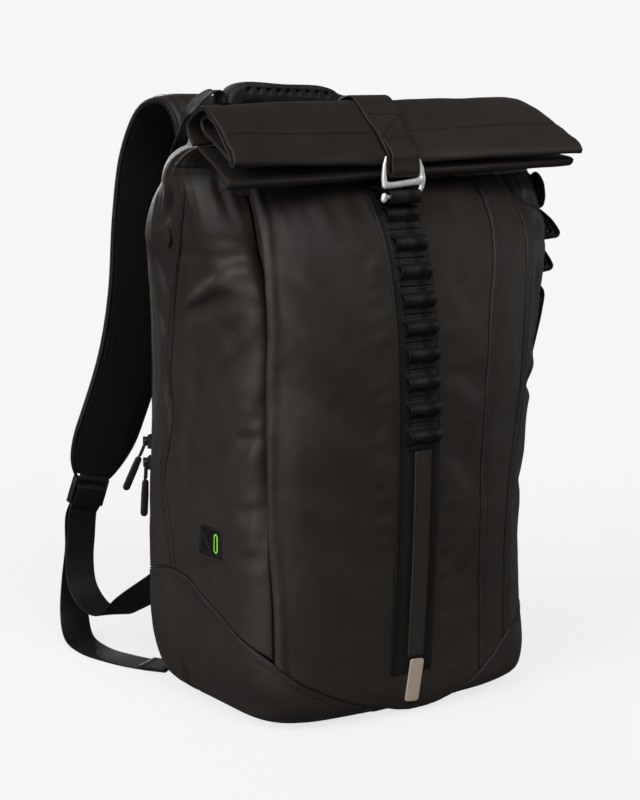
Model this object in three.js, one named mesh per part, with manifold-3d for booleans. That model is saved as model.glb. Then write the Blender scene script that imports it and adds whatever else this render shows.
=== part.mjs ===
// Roll-top backpack: a cloth body on a flat base, a rolled closure held by a strap with a metal
// hook, a ladder of webbing loops on the front, a perforated grip and two padded shoulder straps.
// Millimetres, +Z up. The origin is the centre of the flat bottom; the front faces -Y and
// the back panel, with the shoulder straps, faces +Y.

import * as THREE from 'three';
import { mergeVertices } from 'three/addons/utils/BufferGeometryUtils.js';
import Module from 'manifold-3d';

const wasm = await Module();
wasm.setup();

// Driving dimensions

const bodyHeight = 455;        // base to the stitched top band of the panels
const halfWidth = 145;         // at the sides, half way up
const halfDepth = 110;         // at the front and back faces, half way up
const clothWall = 2.0;         // coated cloth with its lining
const seamGap = 0.8;           // between two panels along a seam
const clearance = 0.3;         // between a piece and the one that carries it
const backPadding = 9;         // foam in the back panel
const backRise = 42;           // the back panel stands this much above the sides
const backForward = 27;        // and keeps this much further back at its top

const rollWidth = 366;         // the rolled closure, end to end
const rollDepth = 62;          // ridge to front fold
const rollDrop = 44;           // height from the front fold up to the ridge
const rollRise = 19;           // the front fold stands this much above the top band
const rollWall = 2.6;          // both collar layers laid together
const collarBulge = 9;         // slack of the collar behind the roll

const ladderWidth = 42;        // base webbing of the loop ladder
const ladderDrop = 3;          // its top end below the top band
const ladderBottom = 12;
const hookRoom = 26;           // between the ladder's top and the middle of its first loop
const webbing = 1.8;           // thickness of the stiff webbing
const loopWidth = 32;
const loopPitch = 22.4;
const loopCount = 9;
const loopStand = 9;           // how far a loop stands off the base webbing
const trimWidth = 17;          // contrasting strip below the ladder
const trimDrop = 3.6;          // between the last loop and the strip
const trimThickness = 1.2;
const plateWidth = 14;
const plateLength = 38;
const plateThickness = 1.6;
const patchWidth = 32;         // stitched patch on the left side
const patchHeight = 25;
const patchLevel = 157;

const hookWidth = 46;
const hookBar = 4.6;           // thickness of the cast hook
const hookHead = 13;           // from its middle up to the top of its strap bar
const hookRise = 8;            // its middle stands this much above the top band
const hookOff = 7.2;           // and this much in front of the roll's fold
const strapWidth = 38;         // closure strap over the roll
const strapNeck = 28;          // the same strap squeezed between the hook's prongs
const strapThickness = 1.6;

const gripWidth = 116;         // grip handle, end to end
const gripRise = 80;           // its top above the top band
const gripTilt = 6;            // the grip's right end sits this much lower
const gripDepth = 22;
const gripThickness = 13;
const gripOff = 12.2;          // its middle behind the top edge of the back panel
const gripSlots = 9;
const tabSpread = 109;         // half the distance between the feet of the grip's webbing

const padWidth = 66;           // shoulder pad
const padThickness = 12;
const padSpread = 66;          // half the distance between the pads at their tops
const strapReach = 157;        // how far the hanging pads stand behind the back panel's top
const lashWidth = 30;          // webbing below the shoulder pads
const lashThickness = 1.6;
const lockWidth = 38;          // ladder lock at the end of a pad
const lockHeight = 27;
const lockThickness = 6.5;
const sideWidth = 20;          // lashing webbing on the right side

const zipWidth = 9;            // zip along the rear left corner
const zipTop = 398;
const zipBottom = 165;
const zipThickness = 1.4;
const pullerLevel = 222;       // height of the upper slider
const pullerGap = 19;          // down to the lower one
const sliderLength = 12;
const sliderWidth = 7.5;
const sliderThickness = 3.2;
const linkWire = 1.5;          // wire of the puller's link
const linkLength = 16;
const linkWidth = 7;
const pullerLength = 34;       // puller tab
const pullerThickness = 2.4;

// Horizontal sections of the body. z is a share of bodyHeight, left and right of halfWidth,
// front and back of halfDepth; frontRound and backRound are the corner exponents.
const sectionColumns = ['z', 'left', 'right', 'front', 'back', 'frontRound', 'backRound'];
const sections = [
  [0.000, 0.700, 0.800, 0.610, 0.680, 4.0, 5.0],
  [0.009, 0.830, 0.910, 0.760, 0.800, 4.2, 5.5],
  [0.031, 0.920, 0.980, 0.870, 0.890, 4.6, 6.0],
  [0.075, 0.975, 1.000, 0.940, 0.945, 5.0, 6.0],
  [0.154, 0.995, 1.000, 0.973, 0.973, 5.0, 6.5],
  [0.330, 1.000, 0.980, 1.018, 0.982, 4.8, 7.0],
  [0.550, 1.000, 1.034, 1.036, 0.973, 4.4, 7.0],
  [0.725, 1.014, 1.117, 1.000, 0.955, 4.2, 6.5],
  [0.835, 1.055, 1.207, 0.918, 0.900, 3.8, 6.0],
  [0.912, 1.103, 1.290, 0.800, 0.800, 3.4, 5.0],
  [0.967, 1.138, 1.340, 0.645, 0.640, 3.0, 4.0],
  [1.000, 1.159, 1.360, 0.510, 0.480, 2.7, 3.2],
];

// Seams. The first column is a share of bodyHeight; the second runs round the body, 0 at the
// middle of the front, -2 and 2 at the middles of the sides, -4 and 4 at the middle of the back.
const frontLeftSeam = [
  [0.00, -1.06], [0.15, -1.07], [0.23, -1.09], [0.43, -1.19], [0.63, -1.19],
  [0.80, -1.10], [0.87, -1.04], [0.92, -0.98], [1.00, -0.91],
];
const frontRightSeam = [
  [0.00, 0.52], [0.13, 0.51], [0.55, 0.47], [0.74, 0.49], [0.81, 0.51], [0.91, 0.54], [1.00, 0.55],
];
const cornerRightSeam = [
  [0.00, 0.72], [0.14, 0.73], [0.44, 0.75], [0.59, 0.82], [0.77, 0.82], [0.89, 0.84], [1.00, 0.84],
];
const rearSeam = [
  [0.00, 2.42], [0.28, 2.38], [0.37, 2.45], [0.44, 2.51], [0.52, 2.44], [0.66, 2.40],
  [0.78, 2.30], [0.88, 2.07], [1.00, 1.72],
];
const backSeam = [[0.00, 2.96], [1.00, 2.96]];

// Height of the base seam, as a share of bodyHeight, against the place round the body.
const baseSeam = [
  [-4.0, 0.215], [-3.4, 0.220], [-2.96, 0.235], [-2.50, 0.262], [-2.19, 0.257], [-1.89, 0.226],
  [-1.52, 0.189], [-1.06, 0.143], [-0.73, 0.093], [-0.51, 0.060], [-0.31, 0.040], [0.04, 0.017],
  [0.29, 0.026], [0.46, 0.052], [0.64, 0.090], [0.80, 0.128], [1.06, 0.160], [1.52, 0.195],
  [1.89, 0.226], [2.19, 0.257], [2.50, 0.262], [2.96, 0.235], [3.4, 0.220], [4.0, 0.215],
];

// Folds and dents: a crease from one point to another, each given round the body and as a
// share of bodyHeight, with its half width and depth as shares of halfDepth.
const folds = [
  [-1.06, 0.90, -1.96, 0.785, 0.12, 0.060],
  [-1.16, 0.97, -1.55, 0.86, 0.15, 0.085],
  [-1.50, 1.00, -1.95, 0.90, 0.13, 0.060],
  [-1.26, 0.82, -1.30, 0.60, 0.10, 0.050],
  [-1.30, 0.58, -1.34, 0.40, 0.10, 0.030],
  [-1.95, 0.72, -2.20, 0.50, 0.14, 0.030],
  [-2.55, 0.94, -2.70, 0.80, 0.09, 0.050],
  [-0.85, 0.93, -0.20, 0.78, 0.13, 0.035],
  [-0.90, 0.83, -0.25, 0.66, 0.13, 0.028],
  [-0.95, 0.66, -0.22, 0.50, 0.14, 0.026],
  [-0.85, 0.42, -0.25, 0.28, 0.16, 0.022],
  [0.24, 0.80, 0.46, 0.66, 0.10, 0.022],
  [0.24, 0.58, 0.46, 0.46, 0.10, 0.020],
  [1.00, 0.95, 1.30, 0.93, 0.09, 0.050],
  [1.00, 0.88, 1.28, 0.86, 0.09, 0.045],
  [1.02, 0.78, 1.30, 0.70, 0.10, 0.035],
  [1.10, 0.52, 1.90, 0.40, 0.16, 0.030],
];

// The roll from its left end to its right end: share is the place along it, the Y columns
// are shares of halfDepth and the Z columns are shares of rollDrop above rollLevel.
const rollColumns = ['share', 'ridgeY', 'ridgeZ', 'foldY', 'foldZ', 'underY', 'underZ'];
const rollStations = [
  [-1.0, -0.69, 1.00, -1.07, 0.00, -0.97, -0.38],
  [-0.5, -0.55, 1.04, -0.93, -0.02, -0.84, -0.36],
  [0.00, -0.37, 1.04, -0.78, -0.02, -0.71, -0.27],
  [0.50, -0.24, 1.06, -0.86, 0.03, -0.78, -0.23],
  [1.00, -0.11, 1.00, -0.97, 0.07, -0.87, -0.15],
];

// Cross-section of the roll as a flat spiral, from the slit at the back, over the ridge and
// the front fold and back inside: share of the way from ridge to fold, and distance off
// that line as a share of rollDepth.
const rollSpiral = [
  [0.16, -0.52], [-0.02, -0.50], [-0.13, -0.42], [-0.14, -0.28], [-0.08, -0.12], [0.02, 0.00],
  [0.30, 0.05], [0.70, 0.03], [0.97, -0.01], [1.01, -0.06], [0.95, -0.10], [0.60, -0.20],
  [0.20, -0.36], [0.07, -0.37], [0.00, -0.30], [0.04, -0.17], [0.30, -0.08], [0.70, -0.06],
];

// Small vector and curve helpers

const V = (x, y, z) => new THREE.Vector3(x, y, z);
const mix = (a, b, t) => a + (b - a) * t;
const clamp = (t, low, high) => Math.min(Math.max(t, low), high);
const smooth = (t) => t * t * (3 - 2 * t);

function tableAt(rows, t) {
  // smooth reading of a two-column table
  const last = rows.length - 1;
  const at = clamp(t, rows[0][0], rows[last][0]);
  let k = 0;
  while (k < last - 1 && at > rows[k + 1][0]) k += 1;
  const slope = (i) => {
    const low = rows[Math.max(i - 1, 0)];
    const high = rows[Math.min(i + 1, last)];
    return (high[1] - low[1]) / (high[0] - low[0]);
  };
  const span = rows[k + 1][0] - rows[k][0];
  const u = (at - rows[k][0]) / span;
  const rise = u * u * (3 - 2 * u);
  const inTerm = (u * u * u - 2 * u * u + u) * slope(k) * span;
  const outTerm = (u * u * u - u * u) * slope(k + 1) * span;
  return mix(rows[k][1], rows[k + 1][1], rise) + inTerm + outTerm;
}

const columnTables = Object.fromEntries(sectionColumns.map((name, column) => [
  name, sections.map((row) => [row[0], row[column]]),
]));

const rollTables = Object.fromEntries(rollColumns.map((name, column) => [
  name, rollStations.map((row) => [row[0], row[column]]),
]));

function sectionPoint(place, share) {
  // the plain body surface, without folds
  const value = (name) => tableAt(columnTables[name], share);
  const quarter = Math.floor((place + 1) / 2);
  const angle = quarter * Math.PI / 2 + Math.atan(place - 2 * quarter);
  const sx = Math.sin(angle);
  const cy = -Math.cos(angle);
  const wide = (sx > 0 ? value('right') : value('left')) * halfWidth;
  const deep = (cy < 0 ? value('front') : value('back')) * halfDepth;
  const power = cy < 0 ? value('frontRound') : value('backRound');
  const reach = (Math.abs(sx) ** power + Math.abs(cy) ** power) ** (-1 / power);
  const middle = smooth(clamp((Math.abs(place > 4 ? place - 8 : place) - 2.9) / 0.55, 0, 1));
  const raised = middle * smooth(clamp((share - 0.75) / 0.25, 0, 1));
  const y = reach * cy * deep + raised * backForward;
  return V(reach * sx * wide, y, share * bodyHeight + raised * backRise);
}

function sectionNormal(place, share) {
  const d = 0.012;
  const low = clamp(share - d, 0, 1);
  const high = clamp(share + d, 0, 1);
  const round = sectionPoint(place + d, share).sub(sectionPoint(place - d, share));
  const rise = sectionPoint(place, high).sub(sectionPoint(place, low));
  return round.cross(rise).normalize();
}

function foldDepth(place, share) {
  // depth of all the creases at one point, in millimetres
  let depth = 0;
  for (const [placeA, shareA, placeB, shareB, halfBreadth, sink] of folds) {
    const ax = placeA * halfDepth;
    const ay = shareA * bodyHeight;
    const dx = placeB * halfDepth - ax;
    const dy = shareB * bodyHeight - ay;
    const px = place * halfDepth - ax;
    const py = share * bodyHeight - ay;
    const along = (px * dx + py * dy) / (dx * dx + dy * dy);
    const t = clamp(along, 0, 1);
    const away = Math.hypot(px - t * dx, py - t * dy) / (halfBreadth * halfDepth);
    const taper = Math.sin(Math.PI * clamp(0.15 + 0.7 * t, 0, 1));
    depth += sink * halfDepth * taper * Math.exp(-away * away);
  }
  return depth;
}

function bodyPoint(place, share, lift = 0) {
  // a point of the folded cloth, lifted along the outward normal
  const point = sectionPoint(place, share);
  return point.addScaledVector(sectionNormal(place, share), lift - foldDepth(place, share));
}

// Mesh helpers

const group = new THREE.Group();
group.name = 'roll_top_backpack';

const rollLevel = bodyHeight + rollRise;
const hookLevel = bodyHeight + hookRise;
const hookPlace = hookOff - tableAt(rollTables.foldY, 0) * halfDepth;
const ladderTop = bodyHeight - ladderDrop;
const gripTop = bodyHeight + gripRise;
const backEdge = sections.at(-1)[4] * halfDepth + backForward;
const gripPlace = backEdge + gripOff;

const looks = {
  cloth: { color: 0x2c2724, roughness: 0.55, metalness: 0.0 },
  webbing: { color: 0x141413, roughness: 0.75, metalness: 0.0 },
  trim: { color: 0x3a2f29, roughness: 0.7, metalness: 0.0 },
  steel: { color: 0xc8c8c6, roughness: 0.25, metalness: 1.0 },
  plate: { color: 0xb09e8c, roughness: 0.4, metalness: 0.6 },
  rubber: { color: 0x262524, roughness: 0.65, metalness: 0.0 },
  plastic: { color: 0x121212, roughness: 0.45, metalness: 0.0 },
};

function meshOf(points, triangles) {
  // an outward-facing geometry from shared points
  let volume = 0;
  for (const [a, b, c] of triangles) {
    volume += points[a].dot(points[b].clone().cross(points[c])) / 6;
  }
  const ordered = volume < 0 ? triangles.map(([a, b, c]) => [a, c, b]) : triangles;
  const geometry = new THREE.BufferGeometry();
  const values = new Float32Array(points.flatMap((p) => [p.x, p.y, p.z]));
  geometry.setAttribute('position', new THREE.BufferAttribute(values, 3));
  geometry.setIndex(ordered.flat());
  geometry.computeVertexNormals();
  return geometry;
}

function add(name, geometry, look, parent = group) {
  const mesh = new THREE.Mesh(geometry, new THREE.MeshStandardMaterial(looks[look]));
  mesh.name = name;
  parent.add(mesh);
  return mesh;
}

function shell(outer, inner, around = false, closedEnd = false) {
  // A sheet between two grids of points, row by row. With around, each row closes on itself;
  // with closedEnd, the last row of each grid is closed by a fan.
  const points = [];
  const triangles = [];
  const rows = outer.length;
  const columns = outer[0].length;
  const index = (grid, r, c) => grid * rows * columns + r * columns + (c % columns);
  for (const grid of [outer, inner]) {
    for (const row of grid) points.push(...row);
  }
  const quad = (a, b, c, d) => triangles.push([a, b, c], [a, c, d]);
  const lastColumn = around ? columns : columns - 1;
  for (let r = 0; r < rows - 1; r += 1) {
    for (let c = 0; c < lastColumn; c += 1) {
      quad(index(0, r, c), index(0, r, c + 1), index(0, r + 1, c + 1), index(0, r + 1, c));
      quad(index(1, r, c), index(1, r + 1, c), index(1, r + 1, c + 1), index(1, r, c + 1));
    }
  }
  for (let c = 0; c < lastColumn; c += 1) {
    quad(index(0, 0, c), index(1, 0, c), index(1, 0, c + 1), index(0, 0, c + 1));
    if (!closedEnd) {
      const r = rows - 1;
      quad(index(0, r, c), index(0, r, c + 1), index(1, r, c + 1), index(1, r, c));
    }
  }
  if (!around) {
    for (let r = 0; r < rows - 1; r += 1) {
      const c = columns - 1;
      quad(index(0, r, 0), index(0, r + 1, 0), index(1, r + 1, 0), index(1, r, 0));
      quad(index(0, r, c), index(1, r, c), index(1, r + 1, c), index(0, r + 1, c));
    }
  }
  if (closedEnd) {
    for (const grid of [0, 1]) {
      const ring = (grid ? inner : outer)[rows - 1];
      const centre = ring.reduce((sum, p) => sum.add(p), V(0, 0, 0)).divideScalar(ring.length);
      const hub = points.push(centre) - 1;
      for (let c = 0; c < columns; c += 1) {
        const a = index(grid, rows - 1, c);
        const b = index(grid, rows - 1, c + 1);
        triangles.push(grid ? [a, hub, b] : [a, b, hub]);
      }
    }
  }
  return meshOf(points, triangles);
}

function loft(rings) {
  // a solid through convex rings with the same number of points, closed by a fan at each end
  const count = rings[0].length;
  const points = rings.flat();
  const triangles = [];
  for (let r = 0; r < rings.length - 1; r += 1) {
    for (let c = 0; c < count; c += 1) {
      const a = r * count + c;
      const b = r * count + (c + 1) % count;
      triangles.push([a, b, b + count], [a, b + count, a + count]);
    }
  }
  const end = (rings.length - 1) * count;
  for (let c = 1; c < count - 1; c += 1) {
    triangles.push([0, c + 1, c], [end, end + c, end + c + 1]);
  }
  return meshOf(points, triangles);
}

function curvePoints(points, count) {
  const curve = new THREE.CatmullRomCurve3(points, false, 'centripetal');
  return curve.getSpacedPoints(count);
}

function tangents(path) {
  return path.map((_, i) => {
    const low = path[Math.max(i - 1, 0)];
    const high = path[Math.min(i + 1, path.length - 1)];
    return high.clone().sub(low).normalize();
  });
}

function band(path, widthAt, thickness, acrossAt) {
  // a flat strap along a path; acrossAt gives the direction of its width
  const along = tangents(path);
  const rings = path.map((point, i) => {
    const share = i / (path.length - 1);
    const wide = (typeof widthAt === 'function' ? widthAt(share) : widthAt) / 2;
    const hint = typeof acrossAt === 'function' ? acrossAt(share) : acrossAt;
    const across = hint.clone().addScaledVector(along[i], -hint.dot(along[i])).normalize();
    const up = along[i].clone().cross(across).multiplyScalar(thickness / 2);
    return [[-1, -1], [1, -1], [1, 1], [-1, 1]].map(([a, b]) => (
      point.clone().addScaledVector(across, a * wide).addScaledVector(up, b)));
  });
  return loft(rings);
}

function solidOf(geometry) {
  const bare = geometry.clone();
  bare.deleteAttribute('normal');
  bare.deleteAttribute('uv');
  const merged = mergeVertices(bare, 1e-4);
  return new wasm.Manifold(new wasm.Mesh({
    numProp: 3,
    vertProperties: new Float32Array(merged.attributes.position.array),
    triVerts: new Uint32Array(merged.index.array),
  }));
}

function geometryOf(solid) {
  const mesh = solid.getMesh();
  const geometry = new THREE.BufferGeometry();
  geometry.setAttribute('position', new THREE.BufferAttribute(new Float32Array(mesh.vertProperties), 3));
  geometry.setIndex(Array.from(mesh.triVerts));
  geometry.computeVertexNormals();
  return geometry;
}

function joined(parts, cuts = []) {
  let solid = solidOf(parts[0]);
  for (const part of parts.slice(1)) solid = solid.add(solidOf(part));
  for (const cut of cuts) solid = solid.subtract(solidOf(cut));
  return geometryOf(solid);
}

function box(low, high) {
  const size = high.map((value, i) => value - low[i]);
  const geometry = new THREE.BoxGeometry(...size);
  return geometry.translate(...low.map((value, i) => value + size[i] / 2));
}

// Body panels

const mirrorRows = (rows) => rows.map(([share, place]) => [share, -place]);
const panelRows = 15;
const seamPlace = seamGap / 2 / halfDepth;
const seamRise = seamGap / 2 / bodyHeight;

function panel(name, leftSeam, rightSeam, columns, wall = clothWall) {
  // One cloth panel between two upright seams, from the base seam up to the top band.
  const rows = panelRows;
  const outer = [];
  const inner = [];
  for (let r = 0; r <= rows; r += 1) {
    const outerRow = [];
    const innerRow = [];
    for (let c = 0; c <= columns; c += 1) {
      let share = r / rows;
      let place = 0;
      for (let pass = 0; pass < 6; pass += 1) {
        const low = tableAt(leftSeam, share) + seamPlace;
        const high = tableAt(rightSeam, share) - seamPlace;
        place = mix(low, high, c / columns);
        const wrapped = place > 4 ? place - 8 : place;
        share = mix(tableAt(baseSeam, wrapped) + seamRise, 1, r / rows);
      }
      outerRow.push(bodyPoint(place, share));
      innerRow.push(bodyPoint(place, share, -wall));
    }
    outer.push(outerRow);
    inner.push(innerRow);
  }
  return add(name, shell(outer, inner), 'cloth');
}

panel('front_panel', frontLeftSeam, frontRightSeam, 12);
panel('front_strip_right', frontRightSeam, cornerRightSeam, 3);
panel('side_panel_right', cornerRightSeam, rearSeam, 8);
panel('side_panel_left', mirrorRows(rearSeam), frontLeftSeam, 10);
panel('rear_gusset_right', rearSeam, backSeam, 3);
panel('rear_gusset_left', mirrorRows(backSeam), mirrorRows(rearSeam), 3);

const backLeft = mirrorRows(backSeam).map(([share, place]) => [share, place + 8]);
panel('back_panel', backSeam, backLeft, 10, backPadding);

function basePanel() {
  // the bowl-shaped base: flat bottom, rounded edge, and a wall up to the base seam
  const columns = 54;
  const levels = [1, 0.66, 0.36, 0.16, 0.045, 0];
  const outer = [];
  const inner = [];
  for (const level of levels) {
    const outerRow = [];
    const innerRow = [];
    for (let c = 0; c < columns; c += 1) {
      const place = -4 + 8 * c / columns;
      const top = tableAt(baseSeam, place) - seamRise;
      const share = top * level;
      const point = level > 0 ? bodyPoint(place, share) : sectionPoint(place, 0);
      const inside = sectionPoint(place, Math.max(share, clothWall / bodyHeight));
      const normal = sectionNormal(place, share);
      const away = V(normal.x, normal.y, 0).normalize();
      inside.addScaledVector(away, -clothWall * 1.1 - (level > 0 ? foldDepth(place, share) : 0));
      inside.z = level > 0 ? Math.max(point.z, clothWall + 0.02 * point.z) : clothWall;
      outerRow.push(point);
      innerRow.push(level > 0 ? inside : inside.multiply(V(0.96, 0.96, 1)));
    }
    outer.push(outerRow);
    inner.push(innerRow);
  }
  return add('base_panel', shell(outer, inner, true, true), 'cloth');
}
basePanel();

// The roll: a folded tube of collar cloth, bent down in the middle by its strap

function rollLine(share) {
  // ridge and front fold of the roll at a place along it, -1 left to 1 right
  const read = (name) => tableAt(rollTables[name], share);
  const x = share * rollWidth / 2;
  return {
    x,
    ridge: V(x, read('ridgeY') * halfDepth, rollLevel + read('ridgeZ') * rollDrop),
    fold: V(x, read('foldY') * halfDepth, rollLevel + read('foldZ') * rollDrop),
    under: V(x, read('underY') * halfDepth, rollLevel + read('underZ') * rollDrop),
  };
}

function rollPoint(line, along, off) {
  const down = line.fold.clone().sub(line.ridge);
  const out = V(0, down.z, -down.y).normalize().multiplyScalar(rollDepth);
  return line.ridge.clone().addScaledVector(down, along).addScaledVector(out, off);
}

function sheetAlong(pathAt, stations, steps, thickness) {
  // a sheet whose cross-section pathAt gives for each place along X
  const outer = [];
  const inner = [];
  for (let i = 0; i <= stations; i += 1) {
    const share = -1 + 2 * i / stations;
    const path = curvePoints(pathAt(share), steps);
    const along = tangents(path);
    const side = (sign) => path.map((point, k) => (
      point.clone().add(V(0, along[k].z, -along[k].y).multiplyScalar(sign * thickness / 2))));
    outer.push(side(1));
    inner.push(side(-1));
  }
  return shell(outer, inner);
}

const rollPath = (share) => {
  const line = rollLine(share);
  return rollSpiral.map(([along, off]) => rollPoint(line, along, off));
};
add('roll', sheetAlong(rollPath, 10, 24, rollWall), 'cloth');

const underPath = (share) => {
  const line = rollLine(share * 0.98);
  const start = rollPoint(line, ...rollSpiral[0]);
  const back = V(line.x, mix(line.under.y, start.y, 0.75), mix(line.under.z, start.z, 0.60));
  return [
    back,
    V(line.x, mix(line.under.y, back.y, 0.45), mix(line.under.z, back.z, 0.50)),
    line.under,
    V(line.x, line.under.y + 3.2, line.under.z - 3.6),
    V(line.x, line.under.y + 13, line.under.z - 4.2),
  ];
};
add('roll_under_fold', sheetAlong(underPath, 12, 9, clothWall), 'cloth');

function collar() {
  // the neck of the bag, from the top band to the slit under the roll
  const columns = 42;
  const steps = [0, 0.25, 0.5, 0.75, 1];
  const slitHalf = 0.8;
  const outer = [];
  const middles = [];
  for (const t of steps) {
    const outerRow = [];
    const middleRow = [];
    for (let c = 0; c < columns; c += 1) {
      const place = -4 + 8 * c / columns;
      const from = bodyPoint(place, 1);
      const rim = sectionPoint(place, 1);
      const reach = rim.x > 0 ? sections.at(-1)[2] : sections.at(-1)[1];
      const across = clamp(rim.x / (reach * halfWidth), -1, 1);
      const line = rollLine(across * 0.96);
      const slit = rollPoint(line, ...rollSpiral[0]);
      const turned = clamp(rim.y / (0.30 * halfDepth), -1, 1);
      const to = V(line.x, slit.y + turned * (slitHalf + clothWall), slit.z - rollWall / 2 - clearance);
      const point = from.clone().lerp(to, t);
      point.z = mix(from.z + seamGap + 0.15, to.z, t);
      const rise = turned > 0 ? collarBulge * turned * Math.sin(Math.PI * t) : 0;
      point.z += rise;
      point.y += rise;
      outerRow.push(point);
      middleRow.push(V(mix(point.x * 0.9, point.x, t), mix(0, slit.y, t), point.z));
    }
    outer.push(outerRow);
    middles.push(middleRow);
  }
  const inner = outer.map((row, r) => row.map((point, c) => {
    const rise = outer[Math.min(r + 1, steps.length - 1)][c].clone().sub(outer[Math.max(r - 1, 0)][c]);
    const round = row[(c + 1) % columns].clone().sub(row[(c + columns - 1) % columns]);
    const thick = Math.min(clothWall, middles[r][c].distanceTo(point) * 0.6);
    const inside = point.clone().addScaledVector(round.cross(rise).normalize(), -thick);
    if (r === 0) inside.z = Math.max(inside.z, point.z);
    return inside;
  }));
  return add('collar', shell(outer, inner, true), 'cloth');
}
collar();

// Pieces that lie on the cloth

function onBody(place, share, lift = 0) {
  return sectionPoint(place, share).addScaledVector(sectionNormal(place, share), lift);
}

function placeOnFront(x, share) {
  const side = x > 0 ? 'right' : 'left';
  return x / (tableAt(columnTables[side], share) * halfWidth);
}

function placeOnBack(x, share) {
  const side = x > 0 ? 'right' : 'left';
  return Math.sign(x) * 4 - x / (tableAt(columnTables[side], share) * halfWidth);
}

function strip(name, placeAt, top, bottom, rows, lift, thickness, look, columns = 2, ease = 1) {
  // a strip lying on the body between two heights; placeAt gives its place for -1 to 1 across
  const outer = [];
  const inner = [];
  for (let r = 0; r <= rows; r += 1) {
    const share = mix(bottom, top, (r / rows) ** ease) / bodyHeight;
    const row = (height) => Array.from({ length: columns + 1 }, (_, c) => (
      onBody(placeAt(-1 + 2 * c / columns, share), share, height)));
    outer.push(row(lift + thickness));
    inner.push(row(lift));
  }
  return add(name, shell(outer, inner), look);
}

function bodyLoop(name, place, top, bottom, stand, width, lift, thickness, across, look) {
  // a webbing loop sewn down at its two ends and standing off the body between them
  const middle = (top + bottom) / 2;
  const half = (top - bottom) / 2;
  const profile = [[1, 0], [0.92, 0.45], [0.45, 0.95], [0, 1.02], [-0.45, 0.95], [-0.92, 0.45], [-1, 0]];
  const path = profile.map(([along, out]) => (
    onBody(place, (middle + along * half) / bodyHeight, lift + out * stand)));
  return add(name, band(path, width, thickness, across), look);
}

// Ladder of webbing loops on the front

const acrossFront = V(1, 0, 0);
const ladderPlace = (across, share) => placeOnFront(across * ladderWidth / 2, share);
strip('ladder_base', ladderPlace, ladderTop, ladderBottom, 40, clearance, webbing, 'webbing', 2, 1.25);

const onLadder = clearance + webbing + clearance;
const firstLoop = ladderTop - hookRoom;
const loopReach = loopPitch * 0.41;
const lastLoop = firstLoop - (loopCount - 1) * loopPitch;
for (let k = 0; k < loopCount; k += 1) {
  const middle = firstLoop - k * loopPitch;
  const name = `ladder_loop_${k + 1}`;
  const stand = loopStand - webbing / 2;
  bodyLoop(name, 0, middle + loopReach, middle - loopReach, stand, loopWidth, onLadder + 0.35,
    webbing, acrossFront, 'webbing');
}

const trimPlace = (across, share) => placeOnFront(2 + across * trimWidth / 2, share);
const plateTop = ladderBottom + plateLength + 3;
const trimTop = lastLoop - loopReach - trimDrop;
strip('trim_strip', trimPlace, trimTop, plateTop + 2, 18, onLadder, trimThickness, 'trim');

function labelPlate() {
  // blank metal plate at the foot of the trim strip
  const outline = new THREE.Shape();
  const w = plateWidth / 2;
  const h = plateLength / 2;
  const r = 2.5;
  outline.moveTo(-w + r, -h);
  outline.lineTo(w - r, -h);
  outline.absarc(w - r, -h + r, r, -Math.PI / 2, 0, false);
  outline.absarc(w - r, h - r, r, 0, Math.PI / 2, false);
  outline.absarc(-w + r, h - r, r, Math.PI / 2, Math.PI, false);
  outline.absarc(-w + r, -h + r, r, Math.PI, Math.PI * 1.5, false);
  const geometry = new THREE.ExtrudeGeometry(outline, {
    depth: plateThickness, bevelEnabled: false, curveSegments: 3,
  });
  const share = (plateTop - plateLength / 2) / bodyHeight;
  const place = placeOnFront(1.5, share);
  const plate = add('label_plate', geometry, 'plate');
  const out = sectionNormal(place, share);
  const right = V(1, 0, 0).addScaledVector(out, -out.x).normalize();
  const basis = new THREE.Matrix4().makeBasis(right, out.clone().cross(right), out);
  plate.quaternion.setFromRotationMatrix(basis);
  plate.position.copy(onBody(place, share, onLadder + 0.2));
}
labelPlate();

const patchPlace = (across) => -1.83 + across * patchWidth / 2 / halfDepth;
strip('side_patch', patchPlace, patchLevel + patchHeight / 2, patchLevel - patchHeight / 2, 4,
  clearance, 1.2, 'webbing', 4);

// Hook and closure strap

// Outline of the hook and of the slot for the closure strap, as shares of half its width and of
// hookHead. The lower bar ends in a knob at the left, past a narrow opening.
const hookOutline = [
  [-0.90, 1.000], [0.90, 1.000], [0.98, 0.460], [1.00, -0.385], [0.93, -1.077], [0.76, -1.577],
  [0.62, -1.731], [-0.62, -1.731], [-0.72, -1.815], [-0.86, -1.785], [-0.95, -1.585],
  [-0.93, -1.354], [-0.80, -1.223], [-0.68, -1.292], [0.62, -1.292], [0.70, -1.123],
  [0.64, -0.846], [-0.62, -0.969], [-0.78, -1.092], [-0.90, -0.969], [-1.00, -0.231],
  [-0.98, 0.538],
];
const hookSlot = [
  [-0.78, 0.646], [-0.80, 0.154], [-0.79, -0.346], [-0.64, -0.585], [0.76, -0.323],
  [0.80, 0.154], [0.78, 0.646],
];
const hookBarTop = hookLevel - 1.292 * hookHead;
const hookBarFoot = hookLevel - 1.731 * hookHead;

function outlineOf(shares) {
  return new THREE.Shape(shares.map(([across, up]) => (
    new THREE.Vector2(across * hookWidth / 2, up * hookHead))));
}

function upright(geometry, y, z) {
  // stands an outline drawn in X and Z, its thickness centred on a plane at y
  return geometry.rotateX(Math.PI / 2).translate(0, y, z);
}

function castHook() {
  const outline = outlineOf(hookOutline);
  outline.holes.push(outlineOf(hookSlot));
  const bevel = 0.9;
  const geometry = new THREE.ExtrudeGeometry(outline, {
    depth: hookBar - 2 * bevel, bevelEnabled: true, bevelThickness: bevel, bevelSize: bevel,
    bevelOffset: -bevel, bevelSegments: 1, curveSegments: 2,
  });
  geometry.translate(0, 0, -hookBar / 2 + bevel);
  return add('hook', upright(geometry, -hookPlace, hookLevel), 'steel');
}
castHook();

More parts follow.
